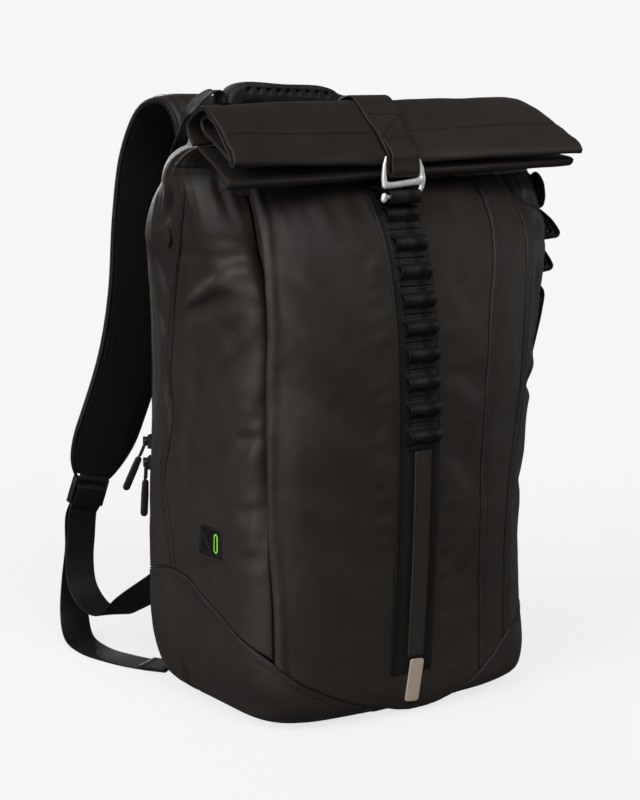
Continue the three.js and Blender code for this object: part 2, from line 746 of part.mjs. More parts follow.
function hookLoop() {
  // the top loop of the ladder, which holds the hook's lower bar
  const t = webbing;
  const front = -hookPlace - hookBar / 2 - clearance - t / 2;
  const back = -hookPlace + hookBar / 2;
  const high = hookBarTop + clearance + t / 2 + 0.5;
  const low = hookBarFoot - clearance - t / 2 - 0.7;
  const top = onBody(0, (high + 1) / bodyHeight, onLadder + 0.4);
  const foot = onBody(0, (low + 4.2) / bodyHeight, onLadder + 0.4);
  const path = [
    top, V(0, mix(top.y, back, 0.5), high + 0.5), V(0, back, high), V(0, front + 1.2, high - 0.3),
    V(0, front - 0.3, (high + low) / 2), V(0, front + 1.2, low + 0.2), V(0, back, low),
    V(0, mix(foot.y, back, 0.5), mix(foot.z, low, 0.6)), foot,
  ];
  return add('hook_loop', band(curvePoints(path, 20), loopWidth * 0.78, t, acrossFront), 'webbing');
}
hookLoop();

function closureStrap() {
  // from the back panel over the roll, down the front, round the hook's top bar and back up
  const line = rollLine(0);
  const t = strapThickness;
  const over = (along, lift) => {
    const base = rollPoint(line, along, 0.068);
    const toOut = rollPoint(line, along, 1.068).sub(base).normalize();
    return base.addScaledVector(toOut, rollWall / 2 + lift);
  };
  const under = clearance + t / 2;
  const upper = 2 * clearance + 1.5 * t;
  const front = -hookPlace - hookBar / 2 - clearance - t / 2;
  const back = -hookPlace + hookBar / 2 + clearance + t / 2;
  const backLift = clearance + t / 2 + 0.3;
  const low = hookLevel - hookHead / 4;
  const hookTop = hookLevel + hookHead;
  const path = [
    onBody(4, 0.90, backLift + 0.5), onBody(4, 0.95, backLift + 0.8), onBody(4, 0.985, backLift + 2.4),
    V(0, onBody(4, 1).y - 8, onBody(4, 1).z + 9), V(0, line.ridge.y + 45, line.ridge.z + 1),
    over(-0.25, upper + 1), over(-0.05, upper + 1), over(0.25, upper), over(0.60, upper),
    over(0.80, upper + 2), V(0, front + 2.4, hookTop + 5), V(0, front - 0.4, hookTop + 0.5),
    V(0, front, hookTop - 5), V(0, front, low + 3), V(0, (front + back) / 2, low),
    V(0, back, low + 3), V(0, back, hookTop + 0.5), over(0.82, under + 1.1), over(0.60, under),
    over(0.35, under),
  ];
  const narrow = (share) => {
    const nearHook = clamp((share - 0.66) / 0.08, 0, 1) * clamp((0.93 - share) / 0.06, 0, 1);
    return mix(strapWidth, strapNeck, smooth(nearHook));
  };
  const skew = (name) => {
    const turn = tableAt(rollTables[name], 0.1) - tableAt(rollTables[name], -0.1);
    return turn * halfDepth / (0.1 * rollWidth);
  };
  const acrossRoll = (share) => {
    const onFold = clamp((share - 0.38) / 0.22, 0, 1);
    const afterHook = smooth(clamp((share - 0.86) / 0.08, 0, 1));
    const before = clamp(share / 0.3, 0, 1) * mix(skew('ridgeY'), 0, onFold);
    return V(1, mix(before, 0.6 * skew('ridgeY'), afterHook), 0);
  };
  return add('closure_strap', band(curvePoints(path, 52), narrow, t, acrossRoll), 'cloth');
}
closureStrap();

// Grip handle

function sectionRings(path, width, thickness, hint, corner = 0.28) {
  // rounded-rectangle rings along a path; width may be a function of the share along it
  const along = tangents(path);
  return path.map((point, i) => {
    const share = i / (path.length - 1);
    const size = typeof width === 'function' ? width(share) : { wide: width, thick: thickness };
    const across = hint.clone().addScaledVector(along[i], -hint.dot(along[i])).normalize();
    const up = along[i].clone().cross(across);
    const w = size.wide / 2;
    const t = size.thick / 2;
    const c = corner * size.thick;
    const outline = [
      [-w + c, -t], [w - c, -t], [w, -t + c], [w, t - c], [w - c, t], [-w + c, t], [-w, t - c],
      [-w, -t + c],
    ];
    return outline.map(([a, b]) => (
      point.clone().addScaledVector(across, a).addScaledVector(up, b)));
  });
}

const gripHeight = (x) => gripTop - gripThickness / 2 - gripTilt * (x / gripWidth + 0.4);

function grip() {
  const half = gripWidth / 2;
  const bend = [[-1, 1.08], [-0.9, 0.31], [-0.7, 0], [0, 0], [0.7, 0], [0.9, 0.31], [1, 1.08]];
  const path = bend.map(([along, drop]) => {
    const x = along * half;
    return V(x, gripPlace, gripHeight(x) - drop * gripThickness);
  });
  const rings = sectionRings(curvePoints(path, 16), gripDepth, gripThickness, V(0, 1, 0));
  const cuts = [];
  const pitch = gripWidth * 0.80 / gripSlots;
  for (let k = 0; k < gripSlots; k += 1) {
    const x = (k - (gripSlots - 1) / 2) * pitch;
    const middle = gripHeight(x);
    const front = gripPlace - gripDepth / 2;
    cuts.push(box([x - 2.2, front - 2, middle - 3.4], [x + 2.2, front + 3, middle + 1.6]));
    const dot = new THREE.CylinderGeometry(1.2, 1.2, 8, 6);
    cuts.push(dot.rotateX(0.8).translate(x + pitch / 2, front + 1.5, middle + gripThickness / 2 - 1));
  }
  return add('grip', joined([loft(rings)], cuts), 'rubber');
}
grip();

function gripTab(name, side) {
  // webbing from the end of the grip out, down and turned flat onto the back panel
  const end = side * gripWidth / 2;
  const onBack = (share, lift) => onBody(placeOnBack(side * tabSpread, share), share, lift);
  const off = gripThickness / 2 + webbing / 2;
  const high = gripHeight(end);
  const path = [
    V(end + side * off, gripPlace, high - 13), V(end + side * (off + 0.5), gripPlace, high - 4),
    V(end + side * (off + 6), gripPlace + 1, high + 1), V(end + side * (off + 14), gripPlace + 6, high - 4),
    V(end + side * (off + 24), gripPlace + 9, high - 18),
    onBack(0.985, 6.5), onBack(0.95, webbing + 1.0), onBack(0.92, webbing + 0.3),
  ];
  const turned = (share) => {
    const k = smooth(clamp((share - 0.30) / 0.45, 0, 1));
    return V(-side * k, 1 - 0.7 * k, 0);
  };
  return add(name, band(curvePoints(path, 18), 19, webbing, turned), 'webbing');
}

// Shoulder straps

// Middle line of a pad, from the back panel over its top and down: outward past padSpread as a
// share of padWidth, behind the back panel's top as a share of strapReach, height as a share of
// bodyHeight.
const padRoute = [
  [0.000, 0.222, 0.945], [0.000, 0.220, 0.982], [0.000, 0.208, 1.024], [0.000, 0.212, 1.068],
  [0.015, 0.243, 1.108], [0.030, 0.320, 1.134], [0.045, 0.447, 1.138], [0.076, 0.587, 1.116],
  [0.152, 0.721, 1.033], [0.242, 0.791, 0.901], [0.333, 0.829, 0.747], [0.500, 0.874, 0.604],
  [0.742, 0.931, 0.479], [0.909, 0.976, 0.404], [0.985, 0.998, 0.360],
];

// The webbing from the lock to its anchor on the rear gusset: inward from the lock as a share
// of lashWidth, way from the lock to the anchor, and height as a share of the lock's.
const lowerRoute = [
  [0.06, 0.01, 0.773], [0.06, 0.05, 0.598], [0.12, 0.15, 0.423], [0.16, 0.30, 0.306],
  [0.19, 0.47, 0.299], [0.22, 0.69, 0.437],
];

// The loose tail: inward as before, behind the lock as a share of strapReach, and the same
// height, down to the floor, on which its end lies.
const tailRoute = [
  [0.06, 0.132, 0.685], [-0.01, 0.209, 0.437], [-0.18, 0.171, 0.190], [-0.31, 0.043, 0.051],
];
const tailOnFloor = [[-0.24, -0.161], [0.02, -0.415], [0.46, -0.606], [0.92, -0.734]];

function shoulderStrap(word, side) {
  const route = padRoute.map(([out, behind, height]) => (
    V(side * (padSpread + out * padWidth), backEdge + behind * strapReach, height * bodyHeight)));
  const shape = (share) => {
    const tip = clamp((share - 0.90) / 0.10, 0, 1);
    const foot = clamp(share / 0.06, 0, 1);
    return {
      wide: padWidth * mix(0.88, 1, smooth(clamp(share / 0.4, 0, 1))) * Math.sqrt(1 - 0.72 * tip * tip),
      thick: padThickness * mix(0.5, 1, foot) * mix(1, 0.6, tip),
    };
  };
  const path = curvePoints(route, 26);
  add(`shoulder_pad_${word}`, loft(sectionRings(path, shape, 0, V(1, 0, 0))), 'cloth');

  const end = route.at(-1);
  const along = route.at(-1).clone().sub(route.at(-2)).normalize();
  const lockMiddle = end.clone().addScaledVector(along, lockHeight / 2 + clearance);
  const w = lockWidth / 2;
  const h = lockHeight / 2;
  const t = lockThickness / 2;
  const slotWidth = lashWidth / 2 + 1;
  const cut = (low, high) => box([-slotWidth, -t - 1, low], [slotWidth, t + 1, high]);
  const lock = joined([box([-w, -t, -h], [w, t, h])], [
    cut(h - 8.5, h - 4), cut(-2.6, 2.4), cut(-h + 4, -h + 8.5),
  ]);
  const mesh = add(`ladder_lock_${word}`, lock, 'plastic');
  const right = V(1, 0, 0).addScaledVector(along, -along.x).normalize();
  const up = along.clone().negate();
  const basis = new THREE.Matrix4().makeBasis(right, up.clone().cross(right), up);
  mesh.quaternion.setFromRotationMatrix(basis);
  mesh.position.copy(lockMiddle);

  const foot = lockMiddle.clone().addScaledVector(along, lockHeight / 2 + clearance + 0.4);
  const anchor = (share, lift) => onBody(side * 3.24, share, lift);
  const inward = (part) => foot.x - side * part * lashWidth;
  const fromLock = (share) => right.clone().lerp(V(1, 0, 0), smooth(clamp(share / 0.3, 0, 1)));
  const hung = anchor(0.185, 9);
  const loopPath = [
    foot.clone().add(V(0, -1.6, 0)), foot.clone().addScaledVector(along, 9).add(V(0, -1.8, 0)),
    ...lowerRoute.map(([part, way, height]) => (
      V(inward(part), mix(foot.y, hung.y, way), foot.z * height))),
    hung, anchor(0.215, lashThickness + 1), anchor(0.245, lashThickness + 0.6),
  ];
  add(`lower_webbing_${word}`, band(curvePoints(loopPath, 24), lashWidth, lashThickness, fromLock),
    'webbing');
  const flat = lashThickness / 2 + 0.6;
  const tailPath = [
    foot.clone().add(V(0, 1.6, 0)), foot.clone().addScaledVector(along, 9).add(V(0, 3, 0)),
    ...tailRoute.map(([part, behind, height]) => (
      V(inward(part), foot.y + behind * strapReach, foot.z * height))),
    ...tailOnFloor.map(([part, behind]) => V(inward(part), foot.y + behind * strapReach, flat)),
  ];
  add(`strap_tail_${word}`, band(curvePoints(tailPath, 24), lashWidth, lashThickness, fromLock),
    'webbing');
}

for (const [word, side] of [['left', -1], ['right', 1]]) {
  gripTab(`grip_tab_${word}`, side);
  shoulderStrap(word, side);
}

// Lashing webbing on the right side

const acrossSide = V(0, 1, 0);
const sidePlace = 1.55;
const sideLift = clearance + 0.45;

// Each piece's name, its ends as shares of bodyHeight, and its stand-off as a share of sideWidth
const sideLoops = [
  ['side_arch', 0.989, 0.932, 0.60], ['side_leaf_1', 0.919, 0.870, 0.60],
  ['side_leaf_2', 0.859, 0.804, 0.45], ['side_lash', 0.793, 0.527, 0.45],
];
for (const [name, top, bottom, stand] of sideLoops) {
  bodyLoop(name, sidePlace, top * bodyHeight, bottom * bodyHeight, stand * sideWidth, sideWidth,
    sideLift, webbing, acrossSide, 'webbing');
}

// Zip with two sliders along the rear left corner

const zipPlace = -2.96;
const zipAcross = (across) => zipPlace + across * zipWidth / 2 / halfDepth;
strip('zip', zipAcross, zipTop, zipBottom, 14, clearance + 0.2, zipThickness, 'plastic', 3);

function zipPull(number, level, tilt) {
  // slider with a lug, and a puller that hangs from it; tilt is the puller's angle at rest
  const share = level / bodyHeight;
  const out = sectionNormal(zipPlace, share);
  out.z = 0;
  out.normalize();
  const up = V(0, 0, 1);
  const across = up.clone().cross(out);
  const basis = new THREE.Matrix4().makeBasis(across, up, out);
  const holder = new THREE.Group();
  holder.quaternion.setFromRotationMatrix(basis);
  holder.position.copy(onBody(zipPlace, share, 2 * clearance + zipThickness + 0.2));
  group.add(holder);

  const w = sliderWidth / 2;
  const h = sliderLength / 2;
  const lugThick = 2.2;
  const holeRadius = linkWire / 2 + 0.75;
  const holeHeight = sliderThickness + holeRadius + 0.9;
  const lug = box([-lugThick / 2, -4, sliderThickness - 0.5], [lugThick / 2, 4, holeHeight + holeRadius + 1.2]);
  const hole = new THREE.CylinderGeometry(holeRadius, holeRadius, lugThick * 3, 14);
  hole.rotateZ(Math.PI / 2).translate(0, 0, holeHeight);
  const slider = joined([box([-w, -h, 0], [w, h, sliderThickness]), lug], [hole]);
  add(`zip_slider_${number}`, slider, 'steel', holder);

  const swing = new THREE.Group();
  swing.position.set(0, 0, holeHeight);
  swing.rotation.x = -tilt;
  holder.add(swing);
  const lw = linkWidth / 2;
  const wire = linkWire / 2;
  const link = joined(
    [box([-lw, -linkLength + wire, -wire], [lw, wire, wire])],
    [box([-lw + linkWire, -linkLength + wire + linkWire, -2], [lw - linkWire, wire - linkWire, 2])],
  );
  add(`puller_link_${number}`, link, 'steel', swing);
  const tabTop = -linkLength + wire - clearance;
  const tab = box([-lw, tabTop - pullerLength, -pullerThickness / 2], [lw, tabTop, pullerThickness / 2]);
  add(`puller_tab_${number}`, tab, 'plastic', swing);
}
zipPull(1, pullerLevel, 0.42);
zipPull(2, pullerLevel - pullerGap, 0.06);

export default group;
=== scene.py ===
import math

import bpy
import numpy as np
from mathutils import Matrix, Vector


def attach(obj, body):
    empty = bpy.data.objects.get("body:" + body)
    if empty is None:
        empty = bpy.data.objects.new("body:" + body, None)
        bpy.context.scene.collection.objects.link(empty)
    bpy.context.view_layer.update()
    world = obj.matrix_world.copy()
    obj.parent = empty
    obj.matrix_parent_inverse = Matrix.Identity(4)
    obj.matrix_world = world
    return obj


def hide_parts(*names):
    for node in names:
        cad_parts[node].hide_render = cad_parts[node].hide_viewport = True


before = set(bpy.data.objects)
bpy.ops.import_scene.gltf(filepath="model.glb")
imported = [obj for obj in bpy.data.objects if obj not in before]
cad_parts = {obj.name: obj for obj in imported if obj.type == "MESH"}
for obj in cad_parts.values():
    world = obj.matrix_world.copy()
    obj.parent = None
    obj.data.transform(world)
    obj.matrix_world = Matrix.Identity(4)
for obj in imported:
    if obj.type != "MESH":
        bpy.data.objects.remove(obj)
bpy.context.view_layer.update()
print("frame loaded")

# Lengths below are millimetres; a mesh is scaled to metres when it is made.
mm = 0.001


# --- small maths ---

def mix(a, b, t):
    return a + (b - a) * t


def smooth(t):
    t = np.clip(t, 0.0, 1.0)
    return t * t * (3 - 2 * t)


def bump(distance, width):
    return np.exp(-(distance / width) ** 2)


def vec(*values):
    return np.array(values, float)


def unit(v):
    return v / np.maximum(np.linalg.norm(v, axis=-1, keepdims=True), 1e-9)


def tableAt(rows, t):
    # smooth reading of a two-column table
    rows = np.asarray(rows, float)
    x, y = rows[:, 0], rows[:, 1]
    t = np.clip(t, x[0], x[-1])
    k = np.clip(np.searchsorted(x, t, side="right") - 1, 0, len(x) - 2)
    slope = np.gradient(y, x)
    slope[1:-1] = (y[2:] - y[:-2]) / (x[2:] - x[:-2])
    span = x[k + 1] - x[k]
    u = (t - x[k]) / span
    rise = u * u * (3 - 2 * u)
    enter = (u ** 3 - 2 * u ** 2 + u) * slope[k] * span
    leave = (u ** 3 - u ** 2) * slope[k + 1] * span
    return mix(y[k], y[k + 1], rise) + enter + leave


def lattice(ix, iy, seed):
    # repeatable numbers from 0 to 1
    n = (ix.astype(np.int64) * 374761393 + iy.astype(np.int64) * 668265263 + seed * 974634777) & 0xffffffff
    n = ((n ^ (n >> 13)) * 1274126177) & 0xffffffff
    return ((n ^ (n >> 16)) & 0xffff) / 65535.0


def ripple(x, y, seed=0):
    # smooth noise from about -1 to 1
    x, y = np.broadcast_arrays(np.asarray(x, float), np.asarray(y, float))
    x0, y0 = np.floor(x), np.floor(y)
    total = np.zeros(x.shape)
    for dx in (0, 1):
        for dy in (0, 1):
            turn = 2 * np.pi * lattice(x0 + dx, y0 + dy, seed)
            px, py = x - x0 - dx, y - y0 - dy
            wx, wy = 1 - np.abs(px), 1 - np.abs(py)
            weight = (wx ** 3 * (wx * (6 * wx - 15) + 10)) * (wy ** 3 * (wy * (6 * wy - 15) + 10))
            total += weight * (np.cos(turn) * px + np.sin(turn) * py)
    return 1.6 * total


def curveThrough(points, count):
    # centripetal curve through the points, resampled to count + 1 even points
    p = np.asarray(points, float)
    p = np.vstack([2 * p[0] - p[1], p, 2 * p[-1] - p[-2]])
    fine = []
    for k in range(1, len(p) - 2):
        p0, p1, p2, p3 = p[k - 1:k + 3]
        a = max(np.linalg.norm(p1 - p0) ** 0.5, 1e-6)
        b = max(np.linalg.norm(p2 - p1) ** 0.5, 1e-6)
        c = max(np.linalg.norm(p3 - p2) ** 0.5, 1e-6)
        m1 = ((p1 - p0) / a - (p2 - p0) / (a + b) + (p2 - p1) / b) * b
        m2 = ((p2 - p1) / b - (p3 - p1) / (b + c) + (p3 - p2) / c) * b
        u = np.linspace(0, 1, 24, endpoint=False)[:, None]
        fine.append((2 * u ** 3 - 3 * u ** 2 + 1) * p1 + (u ** 3 - 2 * u ** 2 + u) * m1
                    + (3 * u ** 2 - 2 * u ** 3) * p2 + (u ** 3 - u ** 2) * m2)
    fine.append(p[-2:-1])
    return resampled(np.vstack(fine), count)


def lengthsAlong(path):
    return np.concatenate([[0], np.cumsum(np.linalg.norm(np.diff(path, axis=0), axis=1))])


def resampled(path, count):
    run = lengthsAlong(path)
    at = np.linspace(0, run[-1], count + 1)
    return np.stack([np.interp(at, run, path[:, i]) for i in range(3)], axis=1)


def tangentsOf(path):
    t = np.empty_like(path)
    t[1:-1] = path[2:] - path[:-2]
    t[0], t[-1] = path[1] - path[0], path[-1] - path[-2]
    return unit(t)


def framesOf(path, across):
    # along, across and up at each point of a path; across is a hint
    along = tangentsOf(path)
    hint = np.broadcast_to(np.asarray(across, float), path.shape)
    side = unit(hint - along * np.sum(hint * along, axis=1, keepdims=True))
    return along, side, np.cross(along, side)


# --- building meshes ---

def newShape():
    return {"points": [], "faces": [], "uv": [], "looks": [], "count": 0}


def addGrid(shape, grid, uv=None, around=False, flip=False, look=0):
    # quads through a grid of points; with around, each row closes on itself
    grid = np.asarray(grid, float)
    rows, columns = grid.shape[:2]
    wide = columns if around else columns - 1
    r, c = np.meshgrid(np.arange(rows - 1), np.arange(wide), indexing="ij")
    r, c = r.ravel(), c.ravel()
    corners = [(r, c), (r, c + 1), (r + 1, c + 1), (r + 1, c)]
    if flip:
        corners = corners[::-1]
    faces = np.stack([shape["count"] + a * columns + b % columns for a, b in corners], axis=1)
    if uv is None:
        uv = np.zeros((rows, columns + 1, 2))
    elif uv.shape[1] == columns and around:
        uv = np.concatenate([uv, uv[:, :1] + (uv[:, -1:] - uv[:, -2:-1])], axis=1)
    shape["uv"].append(np.stack([uv[a, b] for a, b in corners], axis=1).reshape(-1, 2))
    shape["points"].append(grid.reshape(-1, 3))
    shape["faces"] += faces.tolist()
    looks = np.broadcast_to(look, (rows - 1, wide)).ravel() if np.ndim(look) else np.full(len(r), look)
    shape["looks"].append(looks)
    start = shape["count"]
    shape["count"] += rows * columns
    return start


def addFan(shape, first, count, flip=False):
    # closes a ring of points that are already there
    ring = list(range(first, first + count))
    shape["faces"].append(ring[::-1] if flip else ring)
    shape["uv"].append(np.zeros((count, 2)))
    shape["looks"].append(np.zeros(1, int))


def addTube(shape, rings, uv=None, flip=False):
    # a closed tube through rings of points
    rings = np.asarray(rings, float)
    rows, columns = rings.shape[:2]
    start = addGrid(shape, rings, uv, around=True, flip=flip)
    addFan(shape, start, columns, flip=not flip)
    addFan(shape, start + (rows - 1) * columns, columns, flip=flip)


def makePiece(name, shape, looks, body="bag", stands=()):
    mesh = bpy.data.meshes.new(name)
    points = np.vstack(shape["points"]) * mm
    mesh.from_pydata(points.tolist(), [], shape["faces"])
    layer = mesh.uv_layers.new(name="UVMap")
    layer.data.foreach_set("uv", (np.vstack(shape["uv"]) * mm).astype(np.float32).ravel())
    for look in looks if isinstance(looks, (list, tuple)) else [looks]:
        mesh.materials.append(look)
    mesh.polygons.foreach_set("material_index", np.concatenate(shape["looks"]).astype(np.int32))
    mesh.polygons.foreach_set("use_smooth", np.ones(len(mesh.polygons), bool))
    mesh.update()
    piece = bpy.data.objects.new(name, mesh)
    bpy.context.scene.collection.objects.link(piece)
    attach(piece, body)
    if stands:
        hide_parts(*stands)
    return piece


def flatUv(grid):
    # lengths along the rows and columns of a grid, for the weave
    grid = np.asarray(grid, float)
    across = np.linalg.norm(np.diff(grid, axis=1), axis=2)
    up = np.linalg.norm(np.diff(grid, axis=0), axis=2)
    u = np.concatenate([np.zeros((len(grid), 1)), np.cumsum(across, axis=1)], axis=1)
    v = np.concatenate([np.zeros((1, grid.shape[1])), np.cumsum(up, axis=0)], axis=0)
    return np.stack([u - u.mean(axis=1, keepdims=True), v], axis=2)


# --- materials ---

def newMaterial(name, color, roughness, metallic=0.0, specular=0.5, sheen=0.0):
    material = bpy.data.materials.new(name)
    material.use_nodes = True
    shader = material.node_tree.nodes["Principled BSDF"]
    shader.inputs["Base Color"].default_value = (*color, 1)
    shader.inputs["Roughness"].default_value = roughness
    shader.inputs["Metallic"].default_value = metallic
    shader.inputs["Specular IOR Level"].default_value = specular
    shader.inputs["Sheen Weight"].default_value = sheen
    shader.inputs["Sheen Roughness"].default_value = 0.5
    return material, material.node_tree, shader


def node(tree, kind, **values):
    made = tree.nodes.new(kind)
    for key, value in values.items():
        if hasattr(made, key):
            setattr(made, key, value)
        else:
            made.inputs[key.replace("_", " ")].default_value = value
    return made


def mathNode(tree, operation, a, b=None):
    made = tree.nodes.new("ShaderNodeMath")
    made.operation = operation
    for socket, value in zip(made.inputs, (a, b)):
        if value is None:
            continue
        if isinstance(value, (int, float)):
            socket.default_value = value
        else:
            tree.links.new(value, socket)
    return made.outputs[0]


def threads(tree, pitchU, pitchV):
    # two wave heights, one along each way of the cloth
    coords = tree.nodes.new("ShaderNodeUVMap")
    coords.uv_map = "UVMap"
    split = tree.nodes.new("ShaderNodeSeparateXYZ")
    tree.links.new(coords.outputs[0], split.inputs[0])
    u = mathNode(tree, "SINE", mathNode(tree, "MULTIPLY", split.outputs[0], 2 * math.pi / (pitchU * mm)))
    v = mathNode(tree, "SINE", mathNode(tree, "MULTIPLY", split.outputs[1], 2 * math.pi / (pitchV * mm)))
    return u, v


def mottle(tree, scale, detail=3.0):
    coords = tree.nodes.new("ShaderNodeTexCoord")
    noise = node(tree, "ShaderNodeTexNoise", Scale=scale, Detail=detail)
    tree.links.new(coords.outputs["Object"], noise.inputs["Vector"])
    return noise.outputs["Fac"]


def remap(tree, value, low, high, fromLow=0.3, fromHigh=0.7):
    made = tree.nodes.new("ShaderNodeMapRange")
    made.inputs["From Min"].default_value = fromLow
    made.inputs["From Max"].default_value = fromHigh
    made.inputs["To Min"].default_value = low
    made.inputs["To Max"].default_value = high
    tree.links.new(value, made.inputs["Value"])
    return made.outputs[0]


def shadeBetween(tree, shader, factor, dark, light):
    blend = tree.nodes.new("ShaderNodeMix")
    blend.data_type = "RGBA"
    blend.inputs[6].default_value = (*dark, 1)
    blend.inputs[7].default_value = (*light, 1)
    tree.links.new(factor, blend.inputs[0])
    tree.links.new(blend.outputs[2], shader.inputs["Base Color"])


def bumpFrom(tree, shader, height, strength, distance):
    made = node(tree, "ShaderNodeBump", Strength=strength, Distance=distance)
    tree.links.new(height, made.inputs["Height"])
    tree.links.new(made.outputs[0], shader.inputs["Normal"])


finish = {
    "clothDark": (0.0120, 0.0092, 0.0075), "clothLight": (0.0174, 0.0134, 0.0110),
    # webbing colours: shaded groove and lit crest of the painted rib shade
    "webShadedGroove": (0.0008, 0.0008, 0.0007), "webLitCrest": (0.0052, 0.0052, 0.0046),
    "trimDark": (0.0112, 0.0085, 0.0070), "trimLight": (0.0175, 0.0132, 0.0108),
    "steel": (0.82, 0.81, 0.79), "plate": (0.50, 0.405, 0.33),
    "rubberDark": (0.007, 0.007, 0.0068), "rubberLight": (0.014, 0.0137, 0.0132),
    "mark": (0.26, 0.78, 0.05),
}


def coatedCloth(name, dark, light, roughness=(0.45, 0.54), weave=0.62):
    material, tree, shader = newMaterial(name, light, 0.5, specular=0.27, sheen=0.02)
    u, v = threads(tree, weave, weave)
    woven = mathNode(tree, "MULTIPLY", u, v)
    large = mottle(tree, 14)
    fine = mottle(tree, 420, 2.0)
    height = mathNode(tree, "ADD", woven, mathNode(tree, "MULTIPLY", fine, 1.6))
    bumpFrom(tree, shader, height, 0.22, 0.00012)
    # random tone from the large mottle; the weave term adds painted shade between the threads, lighter on their tops
    shade = mathNode(tree, "ADD", remap(tree, large, 0.1, 0.9), mathNode(tree, "MULTIPLY", woven, 0.10))
    shadeBetween(tree, shader, shade, dark, light)
    tree.links.new(remap(tree, mottle(tree, 60), *roughness), shader.inputs["Roughness"])
    return material


def webbingCloth(name, dark, light, rib=1.5, strength=0.6):
    material, tree, shader = newMaterial(name, light, 0.50, specular=0.20, sheen=0.02)
    u, v = threads(tree, rib, 0.9)
    ribs = mathNode(tree, "ADD", u, mathNode(tree, "MULTIPLY", v, 0.18))
    fuzz = mottle(tree, 900, 2.0)
    height = mathNode(tree, "ADD", ribs, mathNode(tree, "MULTIPLY", fuzz, 1.2))
    bumpFrom(tree, shader, height, strength, 0.0002)
    # painted shade and highlight: the colour darkens in the grooves between the ribs and lightens on their crests,
    # with a little random mottle
    paintedRibShade = remap(tree, ribs, 0.0, 0.9, -1.1, 1.2)
    shade = mathNode(tree, "ADD", paintedRibShade, mathNode(tree, "MULTIPLY", mottle(tree, 30), 0.2))
    shadeBetween(tree, shader, shade, dark, light)
    return material


def airMeshCloth():
    material, tree, shader = newMaterial("air_mesh", (0.004, 0.004, 0.004), 0.8, specular=0.10, sheen=0.03)
    coords = tree.nodes.new("ShaderNodeUVMap")
    coords.uv_map = "UVMap"
    cells = node(tree, "ShaderNodeTexVoronoi", feature="DISTANCE_TO_EDGE", Scale=520.0, Randomness=0.25)
    tree.links.new(coords.outputs[0], cells.inputs["Vector"])
    holes = remap(tree, cells.outputs["Distance"], 1.0, 0.0, 0.02, 0.30)
    bumpFrom(tree, shader, holes, 0.7, 0.0006)
    # painted shade: the cell middles, where the holes are, are darkened and the strands between them kept light
    paintedHoleShade = mathNode(tree, "MULTIPLY", holes, 0.8)
    shade = mathNode(tree, "ADD", paintedHoleShade, mathNode(tree, "MULTIPLY", mottle(tree, 40), 0.2))
    shadeBetween(tree, shader, shade, (0.0008, 0.0008, 0.0007), (0.0050, 0.0049, 0.0045))
    return material


def mouldedRubber(name, dark, light, roughness, grain=900.0):
    material, tree, shader = newMaterial(name, light, roughness, specular=0.22)
    fine = mottle(tree, grain, 2.0)
    bumpFrom(tree, shader, fine, 0.25, 0.0002)
    shadeBetween(tree, shader, remap(tree, mottle(tree, 35), 0.0, 1.0), dark, light)
    tree.links.new(remap(tree, mottle(tree, 120), roughness - 0.06, roughness + 0.08), shader.inputs["Roughness"])
    return material


def castMetal(name, color, roughness, scratch=240.0, metallic=1.0):
    material, tree, shader = newMaterial(name, color, roughness, metallic=metallic)
    coords = tree.nodes.new("ShaderNodeTexCoord")
    stretch = tree.nodes.new("ShaderNodeMapping")
    stretch.inputs["Scale"].default_value = (1.0, 1.0, 9.0)
    tree.links.new(coords.outputs["Object"], stretch.inputs[0])
    lines = node(tree, "ShaderNodeTexNoise", Scale=scratch, Detail=3.0)
    tree.links.new(stretch.outputs[0], lines.inputs["Vector"])
    bumpFrom(tree, shader, lines.outputs["Fac"], 0.10, 0.0001)
    shadeBetween(tree, shader, mottle(tree, 90), tuple(0.82 * c for c in color), color)
    tree.links.new(remap(tree, lines.outputs["Fac"], roughness - 0.05, roughness + 0.12), shader.inputs["Roughness"])
    return material


cloth = coatedCloth("coated_cloth", finish["clothDark"], finish["clothLight"])
trimCloth = coatedCloth("trim_cloth", finish["trimDark"], finish["trimLight"], (0.55, 0.68), 0.8)
webbing = webbingCloth("ribbed_webbing", finish["webShadedGroove"], finish["webLitCrest"])
fineWebbing = webbingCloth("fine_webbing", finish["webShadedGroove"], (0.0040, 0.0040, 0.0037), 1.1, 0.4)
airMesh = airMeshCloth()
rubber = mouldedRubber("grip_rubber", finish["rubberDark"], finish["rubberLight"], 0.58)
plastic = mouldedRubber("black_plastic", (0.004, 0.004, 0.004), (0.0075, 0.0075, 0.0075), 0.42, 1400.0)
patchRubber = mouldedRubber("patch_rubber", (0.0015, 0.0015, 0.0015), (0.0038, 0.0037, 0.0036), 0.55)
steel = castMetal("cast_steel", finish["steel"], 0.28, metallic=0.55)
plateMetal = castMetal("plate_metal", finish["plate"], 0.38, 600.0, 0.35)
darkMetal = castMetal("dark_metal", (0.018, 0.018, 0.019), 0.42)
mark = mouldedRubber("green_mark", tuple(0.8 * c for c in finish["mark"]), finish["mark"], 0.5)
thread = webbingCloth("sewing_thread", (0.0025, 0.0022, 0.0020), (0.0075, 0.0064, 0.0056), 0.5, 0.5)
print("materials made")


# --- the body's surface ---

bag = {
    "height": 455, "halfWidth": 145, "halfDepth": 110, "backRise": 42, "backForward": 27,
    "gridPitch": 2.8,      # between the points of a panel
}

